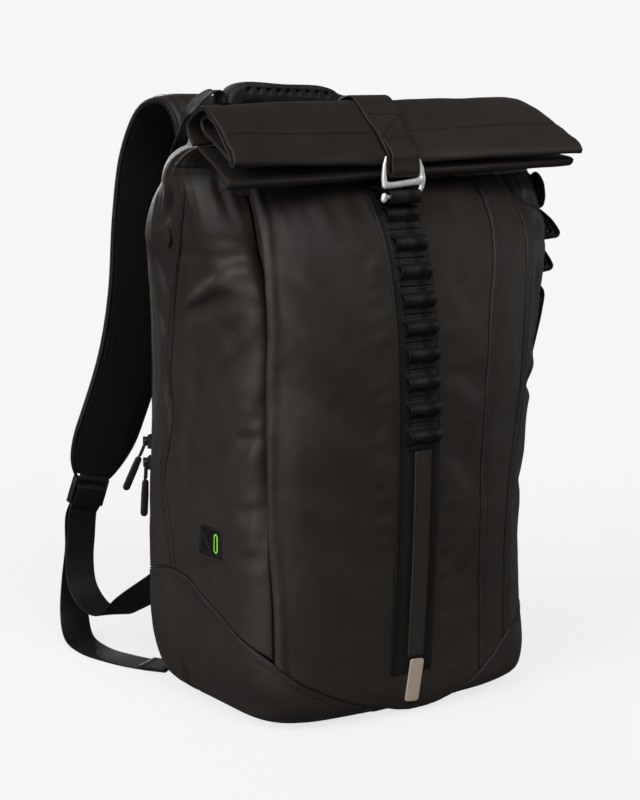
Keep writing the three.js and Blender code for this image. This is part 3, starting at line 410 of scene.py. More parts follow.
sections = np.array([   # z, left, right, front, back, front corner, back corner
    [0.000, 0.700, 0.800, 0.610, 0.680, 4.0, 5.0], [0.009, 0.830, 0.910, 0.760, 0.800, 4.2, 5.5],
    [0.031, 0.920, 0.980, 0.870, 0.890, 4.6, 6.0], [0.075, 0.975, 1.000, 0.940, 0.945, 5.0, 6.0],
    [0.154, 0.995, 1.000, 0.973, 0.973, 5.0, 6.5], [0.330, 1.000, 0.980, 1.018, 0.982, 4.8, 7.0],
    [0.550, 1.000, 1.034, 1.036, 0.973, 4.4, 7.0], [0.725, 1.014, 1.117, 1.000, 0.955, 4.2, 6.5],
    [0.835, 1.055, 1.207, 0.918, 0.900, 3.8, 6.0], [0.912, 1.103, 1.290, 0.800, 0.800, 3.4, 5.0],
    [0.967, 1.138, 1.340, 0.645, 0.640, 3.0, 4.0], [1.000, 1.159, 1.360, 0.510, 0.480, 2.7, 3.2],
])

frontLeftSeam = [[0.00, -1.06], [0.15, -1.07], [0.23, -1.09], [0.43, -1.19], [0.63, -1.19],
                 [0.80, -1.10], [0.87, -1.04], [0.92, -0.98], [1.00, -0.91]]
frontRightSeam = [[0.00, 0.52], [0.13, 0.51], [0.55, 0.47], [0.74, 0.49], [0.81, 0.51],
                  [0.91, 0.54], [1.00, 0.55]]
cornerRightSeam = [[0.00, 0.72], [0.14, 0.73], [0.44, 0.75], [0.59, 0.82], [0.77, 0.82],
                   [0.89, 0.84], [1.00, 0.84]]
rearSeam = [[0.00, 2.42], [0.28, 2.38], [0.37, 2.45], [0.44, 2.51], [0.52, 2.44], [0.66, 2.40],
            [0.78, 2.30], [0.88, 2.07], [1.00, 1.72]]
backSeam = [[0.00, 2.96], [1.00, 2.96]]
baseSeam = [
    [-4.0, 0.215], [-3.4, 0.220], [-2.96, 0.235], [-2.50, 0.262], [-2.19, 0.257], [-1.89, 0.226],
    [-1.52, 0.189], [-1.06, 0.143], [-0.73, 0.093], [-0.51, 0.060], [-0.31, 0.040], [0.04, 0.017],
    [0.29, 0.026], [0.46, 0.052], [0.64, 0.090], [0.80, 0.128], [1.06, 0.160], [1.52, 0.195],
    [1.89, 0.226], [2.19, 0.257], [2.50, 0.262], [2.96, 0.235], [3.4, 0.220], [4.0, 0.215],
]

# creases: from and to as place round the body and share of its height, then half width on
# each side of the line and depth
creases = [
    (-1.50, 0.812, -2.14, 0.760, 4, 8, 4.2), (-1.10, 0.872, -2.00, 0.788, 7, 10, -4.0),
    (-1.72, 0.97, -1.95, 0.84, 7, 12, 3.0), (-1.30, 0.52, -1.36, 0.42, 8, 12, 1.6),
    (-1.20, 0.60, -1.22, 0.34, 8, 5, 5.0), (-1.30, 0.79, -1.60, 0.71, 7, 12, 2.6),
    (-1.18, 0.745, -1.75, 0.64, 7, 14, 3.0), (-1.16, 0.64, -1.62, 0.50, 6, 12, 2.4),
    (-1.22, 0.56, -1.52, 0.545, 5, 9, 2.2), (-1.22, 0.43, -1.50, 0.415, 5, 9, 2.0),
    (-1.22, 0.34, -1.46, 0.33, 5, 9, 1.8), (-1.50, 0.60, -2.05, 0.36, 9, 20, 1.9),
    (-1.95, 0.72, -2.20, 0.50, 9, 18, 2.6), (-2.10, 0.985, -2.22, 0.925, 5, 6, 10.0),
    (-2.54, 0.88, -2.42, 0.79, 4, 5, 4.5), (-2.56, 0.77, -2.49, 0.70, 4, 5, 2.8),
    (-2.52, 0.66, -2.40, 0.52, 5, 9, 2.6), (-2.36, 0.075, -2.42, 0.012, 3, 6, 5.0),
    (-0.90, 0.93, -0.20, 0.77, 12, 22, 3.4), (-0.95, 0.84, -0.25, 0.66, 11, 24, 2.8),
    (-1.02, 0.70, -0.22, 0.52, 11, 24, 2.4), (-0.95, 0.50, -0.30, 0.40, 10, 20, 1.8),
    (-0.85, 0.42, -0.25, 0.28, 12, 24, 2.2), (0.24, 0.86, 0.44, 0.74, 8, 16, 2.6),
    (0.24, 0.66, 0.46, 0.60, 8, 14, 2.2), (0.24, 0.52, 0.46, 0.42, 8, 16, 2.0),
    (0.24, 0.30, 0.44, 0.22, 8, 16, 1.6), (0.96, 0.958, 1.34, 0.93, 4, 6, 5.5),
    (0.98, 0.915, 1.30, 0.87, 4, 7, 5.0), (1.00, 0.84, 1.12, 0.66, 5, 9, 5.0),
    (0.92, 0.62, 1.30, 0.58, 5, 9, 3.6), (1.16, 0.80, 1.22, 0.60, 5, 8, 4.0), (1.10, 0.52, 1.90, 0.40, 9, 18, 2.6),
    (0.94, 0.44, 1.30, 0.36, 6, 12, 2.0), (1.70, 0.96, 1.80, 0.80, 7, 12, 4.0),
    (2.00, 0.90, 2.20, 0.72, 8, 14, 3.4), (1.60, 0.74, 2.20, 0.60, 9, 16, 2.6),
    (1.60, 0.40, 2.20, 0.30, 10, 18, 2.2), (-1.70, 0.30, -2.20, 0.275, 8, 14, 1.6),
]


bellies = [   # place, share, how far round and up, how far out
    (-2.80, 0.24, 0.50, 0.26, 6.0), (-1.62, 0.93, 0.20, 0.06, 3.0),
    (-2.55, 0.90, 0.35, 0.05, 3.0), (1.20, 0.085, 0.50, 0.09, 6.5), (1.30, 0.72, 0.40, 0.14, 4.5),
    (1.30, 0.87, 0.38, 0.075, 6.5),
    (0.25, 0.025, 0.95, 0.05, 9.0), (-1.55, 0.03, 0.65, 0.055, -7.5), (0.10, 0.60, 0.60, 0.20, 1.5),
]


def belly(place, share):
    total = 0
    for at, level, roundWay, upWay, out in bellies:
        total = total + out * bump(place - at, roundWay) * bump(share - level, upWay)
    return total


def sectionPoint(place, share):
    # the plain body surface, without folds
    place, share = np.broadcast_arrays(np.asarray(place, float), np.asarray(share, float))
    column = [tableAt(sections[:, [0, i]], share) for i in range(1, 7)]
    quarter = np.floor((place + 1) / 2)
    angle = quarter * np.pi / 2 + np.arctan(place - 2 * quarter)
    sx, cy = np.sin(angle), -np.cos(angle)
    wide = np.where(sx > 0, column[1], column[0]) * bag["halfWidth"]
    deep = np.where(cy < 0, column[2], column[3]) * bag["halfDepth"]
    power = np.where(cy < 0, column[4], column[5])
    reach = (np.abs(sx) ** power + np.abs(cy) ** power) ** (-1 / power)
    middle = smooth((np.abs(np.where(place > 4, place - 8, place)) - 2.9) / 0.55)
    raised = middle * smooth((share - 0.75) / 0.25)
    return np.stack([reach * sx * wide, reach * cy * deep + raised * bag["backForward"],
                     share * bag["height"] + raised * bag["backRise"]], axis=-1)


def sectionNormal(place, share):
    d = 0.012
    low, high = np.clip(share - d, 0, 1), np.clip(share + d, 0, 1)
    roundWay = sectionPoint(place + d, share) - sectionPoint(place - d, share)
    return unit(np.cross(roundWay, sectionPoint(place, high) - sectionPoint(place, low)))


def spanPerPlace(place, share):
    d = 0.01
    return np.linalg.norm(sectionPoint(place + d, share) - sectionPoint(place - d, share), axis=-1) / (2 * d)


def onBody(place, share, lift=0.0):
    return sectionPoint(place, share) + sectionNormal(place, share) * np.asarray(lift, float)[..., None]


def creaseDepth(place, share):
    depth = np.zeros(np.broadcast(place, share).shape)
    for placeA, shareA, placeB, shareB, near, far, sink in creases:
        ax, ay = placeA * bag["halfDepth"], shareA * bag["height"]
        dx, dy = placeB * bag["halfDepth"] - ax, shareB * bag["height"] - ay
        px, py = place * bag["halfDepth"] - ax, share * bag["height"] - ay
        size = math.hypot(dx, dy)
        t = np.clip((px * dx + py * dy) / size ** 2, 0, 1)
        off = (px * dy - py * dx) / size + 2.2 * ripple(py / 30, px / 40, 7)
        away = np.hypot(px - t * dx, py - t * dy)
        width = np.where(off > 0, near, far)
        taper = np.sin(np.pi * np.clip(0.06 + 0.88 * t, 0, 1))
        depth += sink * taper * (bump(away, width) - 0.20 * bump(away - 1.7 * width, 0.8 * width))
    return depth


def wander(place, share):
    # soft unevenness of the whole cloth, and finer wrinkles near its top
    x, z = place * bag["halfDepth"], share * bag["height"]
    soft = (1.2 * ripple(x / 58, z / 96, 3) + 0.60 * ripple(x / 25 + z / 90, z / 44, 5)
            + 0.20 * ripple(x / 9, z / 15, 8))
    beside = np.abs(np.abs(x) - 27)
    drawn = 1.0 * ripple(z / 12, x / 26, 11) + 0.5 * ripple(z / 5.5, x / 12, 12)
    soft = soft + np.exp(-beside / 13) * (np.abs(place) < 0.75) * drawn     # beside the ladder
    top = smooth((share - 0.78) / 0.22)
    gather = top * 1.5 * ripple(x / 13, z / 75, 9)
    keep = 1 - 0.9 * bump(np.abs(place), 0.17)     # calm behind the ladder
    return (soft + gather) * keep * smooth(share / 0.06) + belly(place, share)


def puckers(away, along, seed):
    # small waves where a seam draws the cloth in
    return np.exp(-np.abs(away) / 9) * (0.36 * ripple(along / 8.5, away / 30, seed)
                                        + 0.24 * ripple(along / 3.6, away / 20, seed + 1))


edges = {   # how a panel meets its seam: tuck at the seam, rim beside it, broad sink
    "plain": (1.3, 0.3, 2.6, 0.5, 8), "over": (5.0, 2.6, 6.0, 0.0, 10),
    "under": (6.0, 0.0, 6.0, 5.0, 12), "felled": (1.3, 0.25, 3.6, 0.1, 9),
}


def edgeLift(kind, away):
    tuck, rim, rimAt, sink, reach = edges[kind]
    second = 0.45 * bump(away - 7.0, 0.6) if kind == "felled" else 0
    return rim * bump(away - rimAt, rimAt * 0.8) - tuck * bump(away, 1.0) - sink * np.exp(-away / reach) - second


panels = {
    "front": (frontLeftSeam, frontRightSeam, "over", "plain"),
    "strip": (frontRightSeam, cornerRightSeam, "felled", "plain"),
    "right": (cornerRightSeam, rearSeam, "felled", "plain"),
    "left": ([[s, -p] for s, p in rearSeam], frontLeftSeam, "plain", "under"),
    "gussetRight": (rearSeam, backSeam, "felled", "plain"),
    "gussetLeft": ([[s, -p] for s, p in backSeam], [[s, -p] for s, p in rearSeam], "plain", "felled"),
    "back": (backSeam, [[s, 8 - p] for s, p in backSeam], "plain", "plain"),
}


def wrapped(place):
    return np.where(place > 4, place - 8, place)


def backPads(place, share):
    # moulded pads of the back panel: two rows of pads beside a middle channel
    x = -(place - 4) * bag["halfWidth"]
    z = share * bag["height"]
    rise = np.zeros(np.broadcast(x, z).shape)
    for low, high in ((118, 196), (204, 292), (300, 388)):
        for side in (-1, 1):
            middle = 57 * side
            inX = smooth((43 - np.abs(x - middle)) / 9 + 0.5)
            inZ = smooth(((high - low) / 2 - np.abs(z - (high + low) / 2)) / 9 + 0.5)
            rise = np.maximum(rise, inX * inZ)
    return rise


def pleatDepth(share):
    # how far the left side sinks behind the front panel's rim, and how wide the hollow is
    hollow = bump(share - 0.885, 0.055)
    return 15 * hollow + 8 * smooth((share - 0.42) / 0.2) * smooth((0.97 - share) / 0.1), mix(8, 24, hollow)


def clothLift(panel, place, share):
    leftSeam, rightSeam, leftEdge, rightEdge = panels[panel]
    scale = spanPerPlace(place, share)
    fromLeft = (place - tableAt(leftSeam, share)) * scale
    fromRight = (tableAt(rightSeam, share) - place) * scale
    base = (share - tableAt(baseSeam, wrapped(place))) * bag["height"]
    top = (1 - share) * bag["height"]
    z = share * bag["height"]
    lift = edgeLift(leftEdge, fromLeft) + edgeLift(rightEdge, fromRight)
    near = wrapped(place)
    tucked = smooth((near + 1.25) / 0.3) * smooth((2.6 - near) / 0.3)      # a band is sewn on here
    lift += edgeLift("plain", base) + puckers(base, place * 100, 21) - 1.8 * tucked * bump(top, 1.3)
    if panel == "left":
        depth, reach = pleatDepth(share)
        reach = reach * (1 + 0.45 * ripple(z / 16, 0 * z, 15))
        lift = lift - depth * np.exp(-np.abs(fromRight) / reach)
    if panel == "front":
        lift = lift - pleatDepth(share)[0] * bump(fromLeft, 0.6)
    lift += puckers(fromLeft, z, 31) + puckers(fromRight, z, 31)
    if panel == "back":
        return lift + 3.2 * backPads(place, share) - 1.0
    return lift + wander(wrapped(place), share) - creaseDepth(wrapped(place), share)


def onCloth(panel, place, share, lift=0.0):
    return onBody(place, share, clothLift(panel, place, share) + lift)


def denseSteps(length, pitch):
    # shares from 0 to 1, close together at both ends
    close = np.array([0, 0.5, 1.0, 1.6, 2.4, 3.6, 5.2]) / length
    count = max(int((length - 10.4) / pitch), 2)
    return np.concatenate([close[:-1], np.linspace(close[-1], 1 - close[-1], count + 1), 1 - close[:-1][::-1]])


def panelGrid(panel, width):
    leftSeam, rightSeam = panels[panel][:2]
    across = denseSteps(width, bag["gridPitch"])[None, :]
    up = denseSteps(380, bag["gridPitch"])[:, None]
    share = np.broadcast_to(up, (up.shape[0], across.shape[1]))
    place = share
    for _ in range(7):
        place = mix(tableAt(leftSeam, share), tableAt(rightSeam, share), across)
        share = mix(tableAt(baseSeam, wrapped(place)), 1, up)
    return place, share


def makePanel(name, panel, width, look, solid):
    place, share = panelGrid(panel, width)
    grid = onCloth(panel, place, share)
    shape = newShape()
    addGrid(shape, grid, flatUv(grid))
    return makePiece(name, shape, look, stands=(solid,))


makePanel("frontPanel", "front", 240, cloth, "front_panel")
makePanel("frontStripRight", "strip", 55, cloth, "front_strip_right")
makePanel("sidePanelRight", "right", 190, cloth, "side_panel_right")
makePanel("sidePanelLeft", "left", 150, cloth, "side_panel_left")
makePanel("rearGussetRight", "gussetRight", 75, cloth, "rear_gusset_right")
makePanel("rearGussetLeft", "gussetLeft", 75, cloth, "rear_gusset_left")
backPanel = makePanel("backPanel", "back", 270, airMesh, "back_panel")


def makeBase():
    # the bowl-shaped base with its flat bottom
    place = np.linspace(-4, 4, 380, endpoint=False)[None, :]
    level = denseSteps(80, bag["gridPitch"])[::-1][:, None]
    top = tableAt(baseSeam, place)
    share = top * level
    scale = top * bag["height"]
    fromSeam = (1 - level) * scale
    lift = edgeLift("felled", fromSeam) + puckers(fromSeam, place * 100, 21)
    lift = lift + (wander(place, share) - creaseDepth(place, share)) * smooth(share / 0.05)
    side = onBody(place, share, lift * smooth(share / 0.02))
    side[..., 2] = np.maximum(side[..., 2], 0.0)
    side[-1, :, 2] = 0.0
    rim = side[-1]
    rings = []
    for inward in (0.985, 0.94, 0.86, 0.74, 0.58, 0.38, 0.16):
        ring = rim * inward
        ring[:, 2] = 0.9 * (1 - inward) * (1 + 0.5 * ripple(ring[:, 0] / 30, ring[:, 1] / 30, 4))
        rings.append(ring)
    grid = np.vstack([side, np.array(rings)])
    shape = newShape()
    start = addGrid(shape, grid, flatUv(grid), around=True, flip=True)
    addFan(shape, start + (len(grid) - 1) * grid.shape[1], grid.shape[1], flip=True)
    makePiece("basePanel", shape, cloth, stands=("base_panel",))


makeBase()
print("panels made")


# --- the roll and what holds it up ---

roll = {
    "width": 366, "depth": 62, "drop": 44, "level": 474, "wall": 2.6, "stations": 100, "steps": 150,
    "seamAt": 0.61,        # sewn line across the face, as a share of the way from ridge to fold
    "endInset": 3.4,       # how deep the two layers part at the ends
}
rollStations = np.array([   # share, ridge y z, fold y z, under fold y z
    [-1.0, -0.69, 1.00, -1.07, 0.11, -0.97, -0.31], [-0.5, -0.55, 1.04, -0.93, 0.03, -0.84, -0.30],
    [0.00, -0.37, 1.04, -0.78, -0.02, -0.71, -0.27], [0.50, -0.24, 1.06, -0.86, 0.07, -0.78, -0.21],
    [1.00, -0.11, 1.00, -0.97, 0.13, -0.87, -0.13],
])
rollSpiral = [
    (0.16, -0.52), (-0.02, -0.50), (-0.13, -0.42), (-0.14, -0.28), (-0.08, -0.12), (0.02, 0.00),
    (0.30, 0.05), (0.70, 0.03), (0.97, -0.01), (1.01, -0.06), (0.95, -0.10), (0.60, -0.16),
    (0.24, -0.27), (0.10, -0.29), (0.02, -0.24), (0.05, -0.13), (0.30, -0.05), (0.70, -0.045),
]


def rollLine(share):
    read = [tableAt(rollStations[:, [0, i]], share) for i in range(1, 7)]
    x = share * roll["width"] / 2
    level, drop, deep = roll["level"], roll["drop"], bag["halfDepth"]
    return (vec(x, read[0] * deep, level + read[1] * drop), vec(x, read[2] * deep, level + read[3] * drop),
            vec(x, read[4] * deep, level + read[5] * drop))


def rollPoint(share, along, off):
    ridge, fold, _ = rollLine(share)
    down = fold - ridge
    out = unit(vec(0, down[2], -down[1])) * roll["depth"]
    return ridge + down * along + out * off


def sheetBetween(shape, paths, thickness, relief, inset):
    # a thick sheet across X from one path per station; its ends part into two layers
    middle = np.array(paths)
    along = np.empty_like(middle)
    along[:, 1:-1] = middle[:, 2:] - middle[:, :-2]
    along[:, 0], along[:, -1] = middle[:, 1] - middle[:, 0], middle[:, -1] - middle[:, -2]
    out = unit(np.stack([np.zeros(along.shape[:2]), along[..., 2], -along[..., 1]], axis=-1))
    outer = middle + out * (thickness / 2 + relief)[..., None]
    inner = middle - out * (thickness / 2 - relief)[..., None]
    uv = flatUv(outer)
    addGrid(shape, outer, uv, flip=True)
    addGrid(shape, inner, uv)
    for end, sign in ((0, 1), (-1, -1)):
        steps = []
        for off, deep in ((0.5, 0), (0.36, -0.5), (0.20, -0.2), (0.05, 1),
                          (-0.05, 1), (-0.20, -0.2), (-0.36, -0.5), (-0.5, 0)):
            row = middle[end] + out[end] * (off * thickness + relief[end])[:, None]
            row[:, 0] += sign * deep * np.where(np.abs(off) < 0.1, inset, 1.0)
            steps.append(row)
        addGrid(shape, np.array(steps), flip=sign > 0)
    for edge, flip in ((0, False), (-1, True)):
        rows = np.stack([outer[:, edge], middle[:, edge], inner[:, edge]])
        addGrid(shape, rows, flip=flip)
    return outer, out


def makeRoll():
    shares = np.linspace(-1, 1, roll["stations"] + 1)
    paths, seam = [], []
    for share in shares:
        controls = [rollPoint(share, a, o) for a, o in rollSpiral]
        path = curveThrough(controls, roll["steps"])
        ridge, fold, _ = rollLine(share)
        down = fold - ridge
        along = (path - ridge) @ down / (down @ down)
        k = np.arange(len(path))
        front = (k > 24) & (k < 90)
        seam.append(np.where(front, (along - roll["seamAt"]) * np.linalg.norm(down), 50.0))
        paths.append(path)
    paths = np.array(paths)
    x, run = paths[..., 0], np.arange(paths.shape[1])[None, :] * 2.2
    ends = np.abs(shares)[:, None] ** 6
    nearStrap = bump(x - 3, 30)
    relief = 0.9 * ripple(x / 70, run / 60, 41) + 0.4 * ripple(x / 26, run / 40, 42)
    relief = relief - 0.45 * bump(np.array(seam), 1.0) - 1.4 * nearStrap * bump(run - 95, 50)
    relief += 0.6 * ends * ripple(run / 16, x * 0, 43)
    relief += 3.0 * bump(x - 158, 26) * bump(run - 84, 30)
    paths[..., 0] += np.sign(x) * ends * (1.6 * ripple(run / 22, np.sign(x) * 3.0, 44) - 0.018 * run)
    shape = newShape()
    outer, out = sheetBetween(shape, paths, roll["wall"], relief, roll["endInset"])
    makePiece("rollCloth", shape, cloth, stands=("roll",))
    return outer, out, np.array(seam)


rollOuter, rollOut, rollSeam = makeRoll()


def makeRollLayers():
    # the hems of the cloth inside the roll, seen at its ends
    shape = newShape()
    for off, start, end, reach in ((2.15, 28, 74, 0.0), (3.5, 34, 66, 1.6)):
        for sign in (-1, 1):
            paths = []
            for share in sign * np.linspace(0.86, 0.995, 12)[::sign]:
                path = curveThrough([rollPoint(share, a, o) for a, o in rollSpiral], roll["steps"])
                path[:, 0] -= sign * reach
                along = tangentsOf(path)
                out = unit(np.stack([0 * along[:, 0], along[:, 2], -along[:, 1]], axis=1))
                inner = (path - out * off)[start:end + 1]
                paths.append(resampled(inner, 46))
            paths = np.array(paths)
            sheetBetween(shape, paths, 0.8, 0.12 * ripple(paths[..., 0] / 9, np.arange(47)[None, :] / 5, 46), 0.0)
    makePiece("rollLayers", shape, cloth)


makeRollLayers()


def makeUnderFold():
    paths = []
    for share in np.linspace(-0.98, 0.98, 131):
        _, _, under = rollLine(share)
        start = rollPoint(share, *rollSpiral[0])
        back = vec(under[0], mix(under[1], start[1], 0.75), mix(under[2], start[2], 0.60))
        web = smooth((-share - 0.80) / 0.16)      # the flap that hangs from the roll's left end
        back = mix(back, rollPoint(share, 0.12, -0.50) + vec(0, 0, -3), web * 0.9)
        controls = [back, vec(under[0], mix(under[1], back[1], 0.45), mix(under[2], back[2], 0.50)), under,
                    under + vec(0, 3.2, -3.6), under + vec(0, 13, -4.2)]
        paths.append(curveThrough(controls, 40))
    paths = np.array(paths)
    x, run = paths[..., 0], np.arange(41)[None, :] * 1.6
    relief = 0.7 * ripple(x / 60, run / 30, 51) + 0.3 * ripple(x / 22, run / 20, 52)
    shape = newShape()
    sheetBetween(shape, paths, 2.0, relief, 2.6)
    makePiece("rollUnderFold", shape, cloth, stands=("roll_under_fold",))


makeUnderFold()


def makeCollar():
    place = np.linspace(-4, 4, 300, endpoint=False)
    steps = np.concatenate([[-0.03, 0, 0.012, 0.03], np.linspace(0.06, 1, 34)])
    top = np.ones_like(place)
    rim = sectionPoint(place, top)
    relief = wander(place, top) - creaseDepth(place, top)
    start = onBody(place, top, relief)
    left = smooth((-0.9 - place) / 0.5)
    reach = np.where(rim[:, 0] > 0, sections[-1, 2], sections[-1, 1])
    across = np.clip(rim[:, 0] / (reach * bag["halfWidth"]), -1, 1)
    ends = np.array([rollPoint(a * 0.96, *rollSpiral[0]) for a in across])
    turned = np.clip(rim[:, 1] / (0.30 * bag["halfDepth"]), -1, 1)
    to = np.stack([ends[:, 0], ends[:, 1] + turned * 2.8, ends[:, 2] - 1.6], axis=1)
    leave = unit(sectionPoint(place, top) - sectionPoint(place, top * 0.975))
    rows = []
    for t in steps:
        if t < 0:
            rows.append(onBody(place, top * 0.985, relief - 2.5))
            continue
        straight = mix(start, to, t)
        bent = ((1 - t) ** 3 * start + 3 * t * (1 - t) ** 2 * (start + leave * 15)
                + 3 * t * t * (1 - t) * mix(to, start + leave * 22, 0.35) + t ** 3 * to)
        point = mix(straight, bent, left[:, None])
        rise = np.where(turned > 0, 9 * turned * math.sin(math.pi * t), 0)
        point[:, 1] += rise
        point[:, 2] += rise
        rows.append(point)
    grid = np.array(rows)
    roundWay = np.roll(grid, -1, axis=1) - np.roll(grid, 1, axis=1)
    upWay = np.gradient(grid, axis=0)
    out = unit(np.cross(roundWay, upWay))
    t = steps[:, None]
    arc = place[None, :] * bag["halfDepth"]
    fold = (1.7 * ripple(arc / 15, t * 1.6, 61) + 0.7 * ripple(arc / 6.5, t * 2.2, 62)) * (1 - 0.7 * left)
    bandAt = 0.02 + 0.30 * left
    sewn = np.clip(np.maximum(smooth((place + 2.1) / 0.15) * smooth((-1.3 - place) / 0.2),
                              smooth((place + 1.0) / 0.3) * smooth((2.6 - place) / 0.3)), 0, 1)
    lift = fold * smooth(t / 0.5) * smooth((1.04 - t) / 0.25) * smooth((t + 0.02) / 0.05)
    lift = lift + sewn * (0.8 * bump(t - bandAt - 0.07, 0.055) - 1.3 * bump(t - bandAt, 0.022))
    grid = grid + out * lift[..., None]
    shape = newShape()
    addGrid(shape, grid, flatUv(grid), around=True)
    makePiece("collarCloth", shape, cloth, stands=("collar",))
    rows = []
    for off in (0.035, 0.105):      # double stitching of the band
        at = bandAt + off
        k = np.clip(np.searchsorted(steps, at), 1, len(steps) - 1)
        w = ((at - steps[k - 1]) / (steps[k] - steps[k - 1]))[:, None]
        line = np.arange(len(place))
        rows.append((mix(grid[k - 1, line], grid[k, line], w) + out[k, line] * 0.2, out[k, line], sewn > 0.6))
    return rows


collarRows = makeCollar()
print("roll and collar made")


# --- stitches ---

def addStitches(shape, path, up, length=2.9, gap=0.9, thick=0.30):
    # a row of small thread loops along a path; up is the way out of the cloth
    run = lengthsAlong(path)
    count = max(int(run[-1] / (length + gap)), 1)
    starts = (np.arange(count) + 0.12) * run[-1] / count
    up = np.broadcast_to(up, path.shape)

    def at(values, where):
        return np.stack([np.interp(where, run, values[:, i]) for i in range(3)], axis=1)

    profile = ((0.0, -0.25, 0.4), (0.25, 0.45, 1.0), (0.75, 0.45, 1.0), (1.0, -0.25, 0.4))
    normal = unit(at(up, starts + length / 2))
    tangent = unit(at(path, starts + length) - at(path, starts))
    side = np.cross(normal, tangent)
    rings = []
    for along, height, size in profile:
        centre = at(path, starts + along * length) + normal * (height * thick * 2)
        ring = [centre + thick * size * (side * math.cos(a) + normal * math.sin(a))
                for a in np.linspace(0, 2 * math.pi, 4, endpoint=False)]
        rings.append(np.stack(ring, axis=1))
    rings = np.stack(rings, axis=1)
    for stitch in rings:
        addTube(shape, stitch, flip=True)


stitching = newShape()


def stitchSeam(panel, seam, offsets, side=1):
    # rows beside an upright seam, offsets away from it on one side
    share = np.linspace(0.02, 0.985, 240)
    for offset in offsets:
        place = tableAt(seam, share)
        above = np.maximum(share, tableAt(baseSeam, wrapped(place)) + 0.006)
        place = tableAt(seam, above) + side * offset / spanPerPlace(place, above)
        path = onCloth(panel, place, above, 0.12)
        keep = np.concatenate([[True], np.linalg.norm(np.diff(path, axis=0), axis=1) > 0.05])
        addStitches(stitching, path[keep], sectionNormal(place, above)[keep])


stitchSeam("strip", frontRightSeam, (1.9, 7.2))
stitchSeam("right", cornerRightSeam, (1.9, 7.2))
stitchSeam("gussetRight", rearSeam, (1.9, 6.6))
stitchSeam("gussetLeft", [[s, -p] for s, p in rearSeam], (1.9, 6.6), side=-1)


def addSeamShadeCord(path, radius):
    # a round cord in thread colour sunk between two cloths: partly the seam's own thread, partly painted shade that
    # draws the dark line of the seam's groove
    level = abs(path[-1, 2] - path[0, 2]) < 60
    _, side, up = framesOf(path, vec(0.2, 0.3, 0.93) if level else vec(0.7, 0.7, 0.1))
    ring = [path + radius * (side * math.cos(a) + up * math.sin(a))
            for a in np.linspace(0, 2 * math.pi, 6, endpoint=False)]
    addTube(stitching, np.stack(ring, axis=1))


def seamShadeCord(panel, seam, offset=0.0, side=1, radius=0.65, rise=0.75):
    share = np.linspace(0.02, 0.985, 200)
    share = np.maximum(share, tableAt(baseSeam, wrapped(tableAt(seam, share))) + 0.002)
    share = share[np.concatenate([[True], np.diff(share) > 1e-6])]
    place = tableAt(seam, share)
    place = place + side * offset / spanPerPlace(place, share)
    addSeamShadeCord(onCloth(panel, place, share, rise), radius)


# dark cords in each seam and beside its outer stitch row: seam thread and painted groove shade
for panel, seam, side in (("strip", frontRightSeam, 1), ("right", cornerRightSeam, 1), ("gussetRight", rearSeam, 1),
                          ("gussetLeft", [[s, -p] for s, p in rearSeam], -1)):
    seamShadeCord(panel, seam)
    seamShadeCord(panel, seam, 7.0, side, 0.42, 0.05)


def baseRow(place, top, offset, rise, least):
    # a path round the base, offset below its seam
    share = np.maximum(top - offset / bag["height"], least)
    lift = edgeLift("felled", np.full_like(place, offset)) + puckers(offset, place * 100, 21)
    lift = lift + (wander(place, share) - creaseDepth(place, share)) * smooth(share / 0.05)
    return onBody(place, share, lift * smooth(share / 0.02) + rise), share


def longRuns(good, least):
    # unbroken runs of the points that count, each longer than least
    runs = np.split(np.arange(len(good)), np.where(np.diff(good.astype(int)) != 0)[0] + 1)
    return [run for run in runs if good[run[0]] and len(run) > least]


def stitchBase():
    place = np.linspace(-4, 4, 620)
    top = tableAt(baseSeam, place)
    # dark cords in the base seam and beside its outer stitch row: seam thread and painted groove shade
    for offset, radius, rise in ((0.0, 0.7, 0.75), (7.0, 0.42, 0.05)):
        path, _ = baseRow(place, top, offset, rise, 0.003)
        for run in longRuns(top * bag["height"] > offset + 3, 8):
            addSeamShadeCord(path[run], radius)
    for offset in (1.9, 6.8):
        path, share = baseRow(place, top, offset, 0.15, 0.004)
        for run in longRuns(top * bag["height"] > offset + 3, 8):
            addStitches(stitching, path[run], sectionNormal(place[run], share[run]))


stitchBase()

for path, up, good in collarRows:
    for run in longRuns(good, 4):
        addStitches(stitching, path[run], up[run])

seamRow = []
for station, away in zip(rollOuter, rollSeam):
    seamRow.append(station[int(np.argmin(np.abs(away + 1.6)))])
seamRow = np.array(seamRow)
seamRow[2:-2] = sum(seamRow[k:len(seamRow) - 4 + k] for k in range(5)) / 5
seamUp = np.array([out[int(np.argmin(np.abs(away + 1.6)))] for out, away in zip(rollOut, rollSeam)])
addStitches(stitching, seamRow + seamUp * 0.15, seamUp)
makePiece("bodyStitching", stitching, thread)
print("stitches made")


# --- straps and webbing ---

